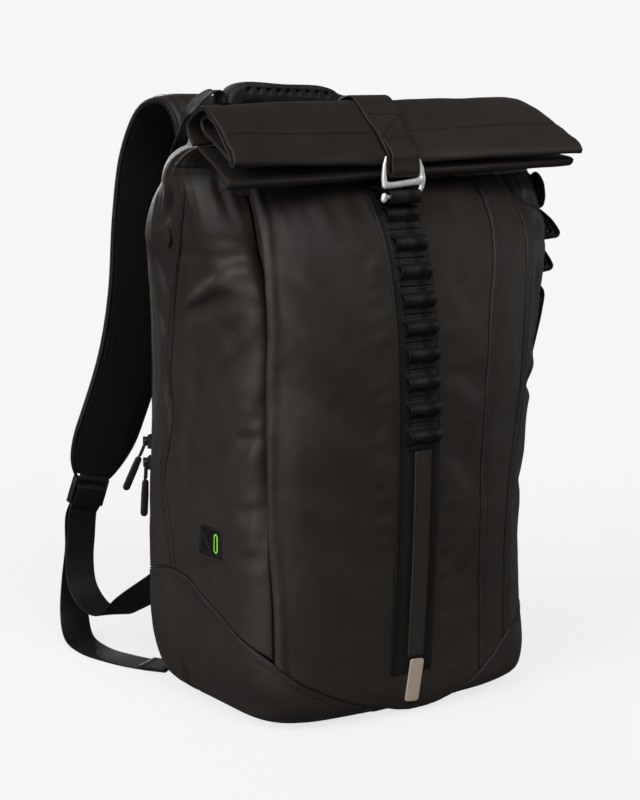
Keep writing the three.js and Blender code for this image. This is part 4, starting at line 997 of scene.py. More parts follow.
def addRibbon(shape, path, across, width, thick, ribs=0, ribDepth=0.0, columns=16, wave=0.0, seed=0):
    # a flat strap with rounded edges along a path; ribs run along it
    _, side, up = framesOf(path, across)
    width = np.broadcast_to(np.asarray(width, float), (len(path),))
    thick = np.broadcast_to(np.asarray(thick, float), (len(path),))
    edge = thick.max() / width.max()
    inner = np.linspace(-1 + edge, 1 - edge, columns + 1)
    s = np.concatenate([[-1, -1 + edge * 0.08, -1 + edge * 0.35], inner, [1 - edge * 0.35, 1 - edge * 0.08, 1]])
    t = np.clip((np.abs(s) - (1 - edge)) / edge, 0, 1)
    height = np.sqrt(np.maximum(1 - t * t, 0)) * 0.5
    rib = ribDepth * (0.5 + 0.5 * np.cos(np.pi * ribs * (s + 1))) * (t <= 0)
    run = lengthsAlong(path)
    shift = wave * ripple(run / 38, 0.0, seed)[:, None]
    rings, uv = [], []
    for top in (1, -1):
        order = slice(None) if top == 1 else slice(-2, 0, -1)
        a, h, r = s[order], height[order], rib[order]
        off = top * (h[None, :] * thick[:, None] - r[None, :])
        rings.append(path[:, None] + side[:, None] * (a[None, :, None] * width[:, None, None] / 2)
                     + up[:, None] * (off + shift)[..., None])
        uv.append(np.stack(np.broadcast_arrays(a[None, :] * width[:, None] / 2, run[:, None]), axis=-1))
    addTube(shape, np.concatenate(rings, axis=1), np.concatenate(uv, axis=1), flip=True)


def placeOnFront(x, share):
    side = np.where(np.asarray(x) > 0, tableAt(sections[:, [0, 2]], share), tableAt(sections[:, [0, 1]], share))
    return x / (side * bag["halfWidth"])


ladder = {
    "width": 42, "top": 452, "bottom": 12, "thick": 1.8, "loopWidth": 32, "pitch": 22.4, "count": 9,
    "bulge": 7.4, "room": 26, "trimWidth": 17, "gap": 0.3,
}
onLadder = 2 * ladder["gap"] + ladder["thick"]
frontAcross = vec(1, 0, 0)


def surfaceStrip(shape, middle, width, top, bottom, lift, thick, columns, rows, ribs=0, ribDepth=0.0, place=None):
    # a strip that lies on the body between two heights
    z = np.linspace(bottom, top, rows)[:, None]
    share = z / bag["height"]
    s = np.linspace(-1, 1, columns)[None, :]
    rib = ribDepth * (0.5 + 0.5 * np.cos(np.pi * ribs * (s + 1)))
    where = placeOnFront(middle + s * width / 2, share) if place is None else place(s) + 0 * share
    edge = np.sqrt(np.clip(1 - (np.clip((np.abs(s) - 0.93) / 0.07, 0, 1)) ** 2, 0, 1))
    outer = onBody(where, share, lift + thick * (0.15 + 0.85 * edge) - rib)
    inner = onBody(where, share, np.full(where.shape, lift))
    rim = np.concatenate([outer, inner[:, ::-1]], axis=1)
    u = np.concatenate([s, s[:, ::-1]], axis=1) * width / 2
    uv = np.stack(np.broadcast_arrays(u, z), axis=-1)
    addTube(shape, rim, uv)


def makeLadder():
    shape = newShape()
    surfaceStrip(shape, -1.2, ladder["width"] + 2.4, ladder["top"], ladder["bottom"] - 9, ladder["gap"],
                 ladder["thick"], 82, 130, 27, 0.30)
    makePiece("ladderBase", shape, webbing, stands=("ladder_base",))
    threadShape = newShape()
    share = np.linspace(ladder["top"] - 3, ladder["bottom"] + 4, 200) / bag["height"]
    for x in (-19.3, 19.3):
        place = placeOnFront(x, share)
        path = onBody(place, share, ladder["gap"] + ladder["thick"] + 0.1)
        addStitches(threadShape, path, sectionNormal(place, share))
    profile = [(0.485, 0.0), (0.40, 0.0), (0.31, 0.03), (0.235, 0.30), (0.185, 0.72), (0.10, 0.98), (-0.01, 1.03),
               (-0.12, 0.86), (-0.195, 0.45), (-0.26, 0.10), (-0.34, 0.0), (-0.485, 0.0)]
    first = ladder["top"] - ladder["room"]
    for k in range(ladder["count"]):
        middle = first - k * ladder["pitch"]
        stand = ladder["bulge"] - ladder["thick"] / 2 + 0.5 * math.sin(1.7 * k + 1)
        droop = 0.6 * math.sin(2.3 * k)
        controls = [onBody(0.0, (middle + a * ladder["pitch"] - droop * o) / bag["height"],
                           onLadder + 0.5 + o * stand) for a, o in profile]
        path = curveThrough(controls, 46)
        loop = newShape()
        addRibbon(loop, path, frontAcross, ladder["loopWidth"], ladder["thick"] * 0.8, 20, 0.42, 60)
        makePiece(f"ladderLoop{k + 1}", loop, webbing, stands=(f"ladder_loop_{k + 1}",))
        for gap in (-0.44, -0.37, 0.39):        # bar tacks between the loops
            x = np.linspace(-15, 15, 30)
            here = (middle + gap * ladder["pitch"]) / bag["height"]
            place = placeOnFront(x, here)
            addStitches(threadShape, onBody(place, np.full(30, here), onLadder + 1.1),
                        sectionNormal(place, np.full(30, here)), 1.5, 0.35, 0.30)
    makePiece("ladderStitching", threadShape, thread)


makeLadder()


def makeTrim():
    lastLoop = ladder["top"] - ladder["room"] - 8 * ladder["pitch"]
    top, bottom = lastLoop - 0.41 * ladder["pitch"] - 3.6, ladder["bottom"] + 43
    shape = newShape()
    surfaceStrip(shape, 2, ladder["trimWidth"], top, bottom, onLadder, 1.2, 35, 90)
    makePiece("trimStrip", shape, trimCloth, stands=("trim_strip",))
    rows = newShape()
    share = np.linspace(top - 1.5, bottom + 1.5, 120) / bag["height"]
    for x in (2 - 6.9, 2 + 6.9):
        place = placeOnFront(x, share)
        addStitches(rows, onBody(place, share, onLadder + 1.25), sectionNormal(place, share))
    makePiece("trimStitching", rows, thread)


makeTrim()


def roundedOutline(halfWide, halfTall, radius, steps=6):
    corner = []
    for cx, cy, start in ((1, 1, 0), (-1, 1, 90), (-1, -1, 180), (1, -1, 270)):
        for k in range(steps + 1):
            a = math.radians(start + 90 * k / steps)
            corner.append((cx * (halfWide - radius) + radius * math.cos(a),
                           cy * (halfTall - radius) + radius * math.sin(a)))
    return np.array(corner)


def addSlab(shape, outline, thick, origin, right, up, out, soften):
    # a plate with rounded rims: rings shrink towards its two faces
    rings, uv = [], []
    centre = outline.mean(axis=0)
    levels = [(-1, 0.96), (-0.96, 0.99), (-0.7, 1.0), (0.7, 1.0), (0.96, 0.99), (1, 0.96), (1, 0.6), (1, 0.2)]
    size = np.abs(outline - centre).max(axis=0)
    for level, share in levels:
        shrink = 1 - soften * (1 - share) / 0.04 * 0.6 / size if share > 0.9 else share
        ring = centre + (outline - centre) * shrink
        height = level * thick / 2
        rings.append(origin + ring[:, :1] * right + ring[:, 1:] * up + height * out)
        uv.append(ring)
    addTube(shape, np.array(rings), np.array(uv))


def makePlate():
    share = (ladder["bottom"] + 38 + 3 - 19) / bag["height"]
    place = float(placeOnFront(1.5, share))
    out = unit(sectionNormal(np.array(place), np.array(share)) + vec(0, -0.9, 0.05))
    right = unit(vec(1, 0, 0) - out * out[0])
    up = unit(np.cross(out, right) + right * 0.10)
    right = np.cross(up, out)
    origin = onBody(np.array(place), np.array(share), onLadder + 2.2)
    shape = newShape()
    addSlab(shape, roundedOutline(7, 19, 2.5), 1.6, origin, right, up, out, 0.45)
    makePiece("labelPlate", shape, plateMetal, stands=("label_plate",))


makePlate()


def makeGussetTab():
    # small pointed tab at the foot of the rear gusset's slit
    place, share = np.array(-2.22), np.array(0.902)
    out = sectionNormal(place, share)
    right = unit(np.cross(vec(0, 0, 1), out))
    outline = vec(5.5, 8, -5.5, 8, -5.5, -3, -3, -6, 0, -9, 3, -6, 5.5, -3).reshape(-1, 2)
    shape = newShape()
    addSlab(shape, outline, 1.8, onCloth("gussetLeft", place, share, 1.6), right, np.cross(out, right), out, 0.5)
    makePiece("gussetTab", shape, cloth)


makeGussetTab()


def makePatch():
    # stitched patch with a crossed box and a plain capsule ring
    wide, tall, level = 32, 25, 157
    columns, rows = 65, 51
    s = np.linspace(-1, 1, columns)[None, :]
    t = np.linspace(-1, 1, rows)[:, None]
    place = -1.83 + s * wide / 2 / bag["halfDepth"]
    share = (level + t * tall / 2) / bag["height"] + 0 * s
    x, y = s * wide / 2 + 0 * t, t * tall / 2 + 0 * s
    rim = np.minimum(wide / 2 - np.abs(x), tall / 2 - np.abs(y))
    ridge = 0.7 * bump(rim - 1.6, 0.7)
    fall = 1.0 * (1 - smooth(rim / 0.9))
    inBox = (np.abs(x + 5.5) < 7.5) & (np.abs(y) < 8.5)
    cross = np.minimum(np.abs(y - (x + 5.5) * 1.1), np.abs(y + (x + 5.5) * 1.1))
    ridge = ridge - np.where(inBox, 0.75 * bump(cross, 0.6), 0)
    capsule = np.hypot(x - 8.6, np.maximum(np.abs(y) - 5.6, 0))
    ring = bump(capsule - 2.1, 0.9)
    lift = clothLift("left", place + 0 * t, share)
    outer = onBody(place + 0 * t, share, np.maximum(lift, -2.5) + 1.3 + ridge - fall + 0.3 * ring)
    under = onBody(place + 0 * t, share, np.maximum(lift, -2.5) - 0.3)
    look = (np.abs(capsule - 2.1) < 0.95).astype(int)
    look = np.minimum(np.minimum(look[:-1, :-1], look[1:, :-1]), np.minimum(look[:-1, 1:], look[1:, 1:]))
    shape = newShape()
    addGrid(shape, outer, flatUv(outer), look=look)
    edge = [np.concatenate([g[0, :-1], g[:-1, -1], g[-1, :0:-1], g[:0:-1, 0]]) for g in (under, outer)]
    addGrid(shape, np.array(edge), around=True)
    makePiece("sidePatch", shape, [patchRubber, mark], stands=("side_patch",))


makePatch()
print("ladder, plate and patch made")

hook = {
    "width": 46, "head": 13, "bar": 4.6, "level": 463, "front": -93, "voxel": 0.00055, "lean": -3.4,
}


def makeHook():
    # capsules along the frame of the hook, melted into one cast piece
    half, head = hook["width"] / 2, hook["head"]

    def at(a, b):
        return vec(a * half + hook["lean"], hook["front"], hook["level"] + b * head)

    limbs = [   # ends as shares of half its width and of its head, then the two radii
        ((-0.76, 1.02), (-0.83, 0.45), 0.9, 1.9), ((-0.83, 0.45), (-0.85, -0.30), 1.9, 2.4),
        ((-0.85, -0.30), (-0.80, -0.78), 2.4, 2.9), ((-0.80, -0.76), (-0.50, -0.78), 3.0, 2.8),
        ((-0.50, -0.78), (0.55, -0.62), 2.7, 3.0), ((0.55, -0.62), (0.84, -0.50), 3.1, 3.1),
        ((0.74, 0.78), (0.82, 0.25), 0.9, 2.0), ((0.82, 0.25), (0.86, -0.50), 2.1, 3.0),
        ((0.86, -0.50), (0.82, -0.98), 3.0, 2.5), ((0.82, -0.98), (0.70, -1.34), 2.5, 1.7),
        ((0.62, -1.46), (-0.66, -1.51), 1.6, 1.9), ((0.72, -1.26), (0.62, -1.46), 1.7, 1.6),
        ((-0.84, -1.64), (-0.83, -1.42), 3.0, 2.7), ((-0.66, -1.51), (-0.83, -1.50), 1.6, 1.9),
    ]
    shape = newShape()
    for a, b, low, high in limbs:
        start, end = at(*a), at(*b)
        along = unit(end - start)
        side = unit(np.cross(along, vec(0, 1, 0)))
        length = np.linalg.norm(end - start)
        rings = []
        steps = [(-low * math.cos(k), low * math.sin(k)) for k in np.linspace(0.12, math.pi / 2, 6)]
        steps += [(length + high * math.cos(k), high * math.sin(k)) for k in np.linspace(math.pi / 2, 0.12, 6)]
        for run, radius in steps:
            ring = [start + along * run + radius * (side * math.cos(t) + vec(0, 1, 0) * 0.82 * math.sin(t))
                    for t in np.linspace(0, 2 * math.pi, 20, endpoint=False)]
            rings.append(ring)
        addTube(shape, np.array(rings))
    piece = makePiece("castHook", shape, steel, stands=("hook",))
    melt = piece.modifiers.new("melt", "REMESH")
    melt.mode, melt.voxel_size, melt.use_smooth_shade = "VOXEL", hook["voxel"], True
    ease = piece.modifiers.new("ease", "SMOOTH")
    ease.factor, ease.iterations = 0.6, 8
    applyModifiers(piece)


def applyModifiers(piece):
    graph = bpy.context.evaluated_depsgraph_get()
    graph.update()
    made = bpy.data.meshes.new_from_object(piece.evaluated_get(graph))
    kept = list(piece.data.materials)
    piece.modifiers.clear()
    piece.data = made
    if not made.materials:
        for look in kept:
            made.materials.append(look)
    made.polygons.foreach_set("use_smooth", np.ones(len(made.polygons), bool))


makeHook()


def makeHookLoop():
    t, front = ladder["thick"], hook["front"] - hook["bar"] / 2 - 0.3 - ladder["thick"] / 2
    back = hook["front"] + hook["bar"] / 2
    high = hook["level"] - 1.292 * hook["head"] + 0.3 + t / 2 + 0.5
    low = hook["level"] - 1.731 * hook["head"] - 0.3 - t / 2 - 0.7
    top = onBody(0.0, (high + 1) / bag["height"], onLadder + 0.4)
    foot = onBody(0.0, (low + 4.2) / bag["height"], onLadder + 0.4)
    controls = [top, vec(0, mix(top[1], back, 0.5), high + 0.5), vec(0, back, high), vec(0, front + 1.2, high - 0.3),
                vec(0, front - 0.3, (high + low) / 2), vec(0, front + 1.2, low + 0.2), vec(0, back, low),
                vec(0, mix(foot[1], back, 0.5), mix(foot[2], low, 0.6)), foot]
    shape = newShape()
    path = curveThrough(controls, 60)
    path[:, 0] -= 2.8 * bump(np.linspace(-1, 1, 61), 0.8)
    addRibbon(shape, path, frontAcross, ladder["loopWidth"], t, 20, 0.40, 60)
    makePiece("hookLoop", shape, webbing, stands=("hook_loop",))


makeHookLoop()

closure = {"width": 38, "neck": 28, "thick": 1.6}


def makeClosure():
    t = closure["thick"]

    def over(along, lift):
        base, above = rollPoint(0.0, along, 0.068), rollPoint(0.0, along, 1.068)
        return base + unit(above - base) * (roll["wall"] / 2 + lift)

    upper, under = 0.6 + 1.5 * t, 0.3 + t / 2
    front = hook["front"] - hook["bar"] / 2 - 0.3 - t / 2
    back = hook["front"] + hook["bar"] / 2 + 0.3 + t / 2
    low, top = hook["level"] - hook["head"] / 4, hook["level"] + hook["head"]
    backTop = onBody(4.0, 1.0)
    backLift = 0.3 + t / 2 + 0.3
    controls = [
        onBody(4.0, 0.90, backLift + 0.5), onBody(4.0, 0.95, backLift + 0.8), onBody(4.0, 0.985, backLift + 2.0),
        vec(0, backTop[1] - 7, backTop[2] + 2), rollPoint(0, 0.18, -0.60), rollPoint(0, -0.05, -0.565),
        rollPoint(0, -0.19, -0.44), rollPoint(0, -0.205, -0.28), rollPoint(0, -0.145, -0.085),
        rollPoint(0, -0.01, 0.075), over(0.25, upper), over(0.60, upper), over(0.80, upper + 2),
        vec(0, front + 2.4, top + 5), vec(0, front - 0.4, top + 0.5), vec(0, front, top - 5), vec(0, front, low + 3),
        vec(0, (front + back) / 2, low), vec(0, back, low + 3), vec(0, back, top + 0.5), over(0.82, under + 1.1),
        over(0.60, under), over(0.35, under),
    ]
    path = curveThrough(controls, 208)
    share = np.linspace(0, 1, len(path))
    path[:, 0] += hook["lean"] * smooth((share - 0.52) / 0.2) * (1 - 0.9 * smooth((share - 0.86) / 0.12))
    nearHook = np.clip((share - 0.66) / 0.08, 0, 1) * np.clip((0.93 - share) / 0.06, 0, 1)
    width = mix(closure["width"], closure["neck"], smooth(nearHook)) * (1 - 0.08 * smooth((share - 0.84) / 0.04))
    ridgeY = rollStations[:, [0, 1]]
    turn = (tableAt(ridgeY, 0.1) - tableAt(ridgeY, -0.1)) * bag["halfDepth"] / (0.1 * roll["width"])
    onFold = np.clip((share - 0.38) / 0.22, 0, 1)
    before = np.clip(share / 0.3, 0, 1) * mix(turn, 0, onFold)
    after = smooth(np.clip((share - 0.86) / 0.08, 0, 1))
    across = np.stack([np.ones_like(share), mix(before, 0.6 * turn, after), np.zeros_like(share)], axis=1)
    shape = newShape()
    addRibbon(shape, path, across, width, t, 0, 0, 16, wave=0.25, seed=71)
    makePiece("closureStrap", shape, cloth, stands=("closure_strap",))
    # the sewn box with its cross, on the part that faces forward and up
    rows = newShape()
    _, side, up = framesOf(path, across)
    run = lengthsAlong(path)
    ridgeAt = run[int(np.argmin(np.linalg.norm(path[:130] - rollPoint(0, -0.01, 0.075), axis=1)))]
    lowAt, highAt = ridgeAt + 25, ridgeAt + 53

    def onStrap(x, where):
        def pick(values):
            return np.stack([np.interp(where, run, values[:, i]) for i in range(3)], axis=-1)

        return pick(path) + pick(side) * x[:, None] + pick(up) * (t / 2 + 0.12), pick(up)

    steps = np.linspace(0, 1, 40)
    half = closure["width"] / 2 - 3
    corners = [(-half, lowAt), (half, lowAt), (half, highAt), (-half, highAt)]
    lines = [(k, (k + 1) % 4) for k in range(4)] + [(0, 2), (1, 3)]
    for a, b in [(corners[first], corners[last]) for first, last in lines]:
        points, ups = onStrap(mix(a[0], b[0], steps), mix(a[1], b[1], steps))
        addStitches(rows, points, ups, 2.2, 0.5, 0.32)
    for sign in (-1, 1):
        where = np.linspace(highAt + 2, ridgeAt + 74, 60)
        x = sign * (np.interp(where, run, width) / 2 - 2.2)
        points, ups = onStrap(x, where)
        addStitches(rows, points, ups)
    makePiece("closureStitching", rows, thread)


makeClosure()
print("hook and closure strap made")


# --- grip ---

grip = {
    "width": 116, "top": 535, "tilt": 6, "depth": 22, "thick": 13, "place": 92, "slots": 9, "tabSpread": 109,
    "slotDeep": 3.6,
}


def gripHeight(x):
    return grip["top"] - grip["thick"] / 2 - grip["tilt"] * (x / grip["width"] + 0.4)


def makeGrip():
    half = grip["width"] / 2
    bend = [(-1, 1.08), (-0.9, 0.31), (-0.7, 0), (0, 0), (0.7, 0), (0.9, 0.31), (1, 1.08)]
    controls = [vec(a * half, grip["place"], gripHeight(a * half) - d * grip["thick"]) for a, d in bend]
    path = curveThrough(controls, 230)
    _, side, up = framesOf(path, vec(0, 1, 0))
    count = 110
    angle = np.linspace(0, 2 * math.pi, count, endpoint=False)
    power = 3.4
    ring = (np.abs(np.cos(angle)) ** power + np.abs(np.sin(angle)) ** power) ** (-1 / power)
    a, b = ring * np.cos(angle), ring * np.sin(angle)
    run = lengthsAlong(path)
    taper = 1 - 0.10 * np.abs(np.linspace(-1, 1, len(path))) ** 4
    b = np.where(b < 0, b * 2.05, b)
    grid = (path[:, None] + side[:, None] * (a * grip["depth"] / 2)[None, :, None] * taper[:, None, None]
            + up[:, None] * (b * grip["thick"] / 2)[None, :, None] * taper[:, None, None])
    out = unit(side[:, None] * (a / grip["depth"])[None, :, None] + up[:, None] * (b / grip["thick"])[None, :, None])
    pitch = grip["width"] * 0.80 / grip["slots"]
    x, z = grid[..., 0], grid[..., 2] - gripHeight(grid[..., 0])
    forward = smooth((grip["place"] - grid[..., 1] - grip["depth"] * 0.22) / 2)
    cell = (x / pitch + 0.5 + 100 * (grip["slots"] % 2 == 0)) % 1 - 0.5
    inside = np.abs(x) < half * 0.82
    slot = smooth((2.35 - np.abs(cell * pitch)) / 0.5 + 0.5) * smooth((2.7 - np.abs(z + 0.6)) / 0.5 + 0.5)
    offCell = ((x / pitch) % 1 - 0.5) * pitch
    topward = smooth((grid[..., 2] - gripHeight(x) - 2.0) / 1.0)
    around = np.arctan2(b, -a)[None, :] * 9.5
    dots = sum(smooth((1.25 - np.hypot(off, around - row)) / 0.4 + 0.5)
               for off, row in ((offCell, 7.4), (cell * pitch, 10.2)))
    sunk = grip["slotDeep"] * slot * forward * inside + 1.6 * np.clip(dots, 0, 1) * topward * inside
    ridge = 0.35 * bump(np.abs(z + 0.6) - 3.6, 0.5) * forward * inside
    grid = grid - out * (sunk - ridge)[..., None]
    shape = newShape()
    v = np.broadcast_to(run[:, None], (len(run), count))
    u = np.broadcast_to(np.cumsum(np.full(count, 0.61))[None, :], (len(run), count))
    addTube(shape, grid, np.stack([u, v], axis=-1))
    makePiece("gripBody", shape, rubber, stands=("grip",))


makeGrip()


def placeOnBack(x, share):
    return math.copysign(4, x) - placeOnFront(x, share)


def makeGripTab(word, side):
    end = side * grip["width"] / 2
    spread = side * grip["tabSpread"]
    off = grip["thick"] / 2 + ladder["thick"] / 2
    high = gripHeight(end)
    gp = grip["place"]
    controls = [
        vec(end + side * off, gp, high - 13), vec(end + side * (off + 0.5), gp, high - 4),
        vec(end + side * (off + 5), gp + 1, high - 2), vec(end + side * (off + 14), gp + 6, high - 7),
        vec(end + side * (off + 24), gp + 9, high - 18), onBody(placeOnBack(spread, 0.985), 0.985, 6.5),
        onBody(placeOnBack(spread, 0.95), 0.95, ladder["thick"] + 1.0),
        onBody(placeOnBack(spread, 0.92), 0.92, ladder["thick"] + 0.3),
    ]
    path = curveThrough(controls, 80)
    k = smooth(np.clip((np.linspace(0, 1, len(path)) - 0.30) / 0.45, 0, 1))
    across = np.stack([-side * k, 1 - 0.7 * k, 0 * k], axis=1)
    shape = newShape()
    addRibbon(shape, path, across, 19, ladder["thick"], 10, 0.2, 30)
    makePiece(f"gripTab{word.capitalize()}", shape, webbing, stands=(f"grip_tab_{word}",))


# --- shoulder straps ---

pads = {
    "width": 66, "thick": 12, "spread": 66, "reach": 157, "lash": 30, "lashThick": 1.6,
    "lockWide": 38, "lockTall": 27, "lockThick": 6.5,
    "lean": 5.0,
}
padRoute = [
    (0.000, 0.222, 0.945), (0.000, 0.220, 0.982), (0.000, 0.208, 1.024), (0.000, 0.212, 1.068),
    (0.015, 0.243, 1.108), (0.030, 0.320, 1.134), (0.045, 0.447, 1.138), (0.076, 0.587, 1.116),
    (0.152, 0.721, 1.033), (0.242, 0.791, 0.901), (0.333, 0.829, 0.747), (0.500, 0.874, 0.604),
    (0.742, 0.931, 0.479), (0.909, 0.976, 0.404), (0.985, 0.998, 0.360),
]
lowerRoute = [(-0.13, 0.00, 0.773), (-0.22, 0.01, 0.610), (-0.24, 0.06, 0.440), (-0.13, 0.20, 0.325),
              (0.03, 0.41, 0.300), (0.14, 0.65, 0.425)]
tailRoute = [(0.06, 0.100, 0.685), (0.04, 0.150, 0.437), (-0.12, 0.118, 0.190), (-0.27, 0.006, 0.051)]
tailOnFloor = [(-0.24, -0.161), (0.02, -0.415), (0.46, -0.606), (0.92, -0.734)]
backEdge = sections[-1, 4] * bag["halfDepth"] + bag["backForward"]


def addRoundedBox(shape, low, high, radius, place):
    # a box with rounded edges; place turns its points into the frame
    low, high = np.asarray(low, float), np.asarray(high, float)
    centre, half = (low + high) / 2, (high - low) / 2
    radius = min(radius, *half)
    rings = []
    for k in np.linspace(-math.pi / 2, math.pi / 2, 9):
        z = math.copysign(half[2] - radius, k) + radius * math.sin(k) if k else 0.0
        inset = radius * (1 - math.cos(k))
        outline = roundedOutline(half[0] - inset, half[1] - inset, max(radius - inset, 0.05), 4)
        rings.append(np.column_stack([outline, np.full(len(outline), z)]) + centre)
    addTube(shape, place(np.array(rings)))


puff = {"voxel": 4.5, "pressure": 4.0, "frames": 14, "most": 3.2, "hold": 9.0}


def puffPad(pad, path, across, up, wide):
    # inflate the pad as sewn cloth held along its binding, then press in its channel
    even = pad.modifiers.new("even", "REMESH")
    even.mode, even.voxel_size = "VOXEL", puff["voxel"] * mm
    applyModifiers(pad)

    def measure():
        points = np.empty(len(pad.data.vertices) * 3)
        pad.data.vertices.foreach_get("co", points)
        points = points.reshape(-1, 3) / mm
        near = np.array([int(np.argmin(((path - q) ** 2).sum(axis=1))) for q in points])
        off = ((points - path[near]) * across[near]).sum(axis=1)
        high = ((points - path[near]) * up[near]).sum(axis=1)
        return points, near, off, high, wide[near] / 2 - np.abs(off)

    points, near, off, high, fromEdge = measure()
    held = pad.vertex_groups.new(name="held")
    fixed = (fromEdge < puff["hold"]) | (near < 8) | (near > len(path) - 9)
    held.add(np.nonzero(fixed)[0].tolist(), 1.0, "REPLACE")
    swell = pad.modifiers.new("swell", "CLOTH")
    sewn = swell.settings
    sewn.quality, sewn.mass = 5, 0.15
    sewn.use_pressure, sewn.uniform_pressure_force = True, puff["pressure"]
    sewn.vertex_group_mass = "held"
    sewn.effector_weights.gravity = 0
    swell.collision_settings.use_collision = False
    swell.point_cache.frame_start, swell.point_cache.frame_end = 1, puff["frames"]
    scene = bpy.context.scene
    for now in range(1, puff["frames"] + 1):
        scene.frame_set(now)
    graph = bpy.context.evaluated_depsgraph_get()
    swollen = pad.evaluated_get(graph).to_mesh()
    after = np.empty(len(points) * 3)
    swollen.vertices.foreach_get("co", after)
    move = after.reshape(-1, 3) / mm - points
    size = np.linalg.norm(move, axis=1, keepdims=True)
    move *= np.minimum(1, puff["most"] / np.maximum(size, 1e-6))
    pad.evaluated_get(graph).to_mesh_clear()
    pad.modifiers.clear()
    scene.frame_set(1)
    pad.data.vertices.foreach_set("co", ((points + move) * mm).ravel())
    pad.vertex_groups.clear()
    finer = pad.modifiers.new("finer", "SUBSURF")
    finer.levels = finer.render_levels = 1
    applyModifiers(pad)
    points, near, off, high, fromEdge = measure()
    channel = 1.1 * bump(fromEdge - 7.5, 1.6) + 0.35 * bump(fromEdge - 11, 2.2)
    points -= up[near] * (np.sign(high) * channel)[:, None]
    pad.data.vertices.foreach_set("co", (points * mm).ravel())
    mesh = pad.data
    layer = mesh.uv_layers.new(name="UVMap") if "UVMap" not in mesh.uv_layers else mesh.uv_layers["UVMap"]
    corners = np.empty(len(mesh.loops), np.int32)
    mesh.loops.foreach_get("vertex_index", corners)
    run = lengthsAlong(path)
    layer.data.foreach_set("uv", (np.stack([off, run[near]], axis=1)[corners] * mm).astype(np.float32).ravel())
    normals = np.empty(len(mesh.polygons) * 3)
    mesh.polygons.foreach_get("normal", normals)
    first = np.array([polygon.vertices[0] for polygon in mesh.polygons])
    outward = (normals.reshape(-1, 3) * up[near[first]]).sum(axis=1)
    mesh.polygons.foreach_set("material_index", (outward < 0).astype(np.int32))
    mesh.update()


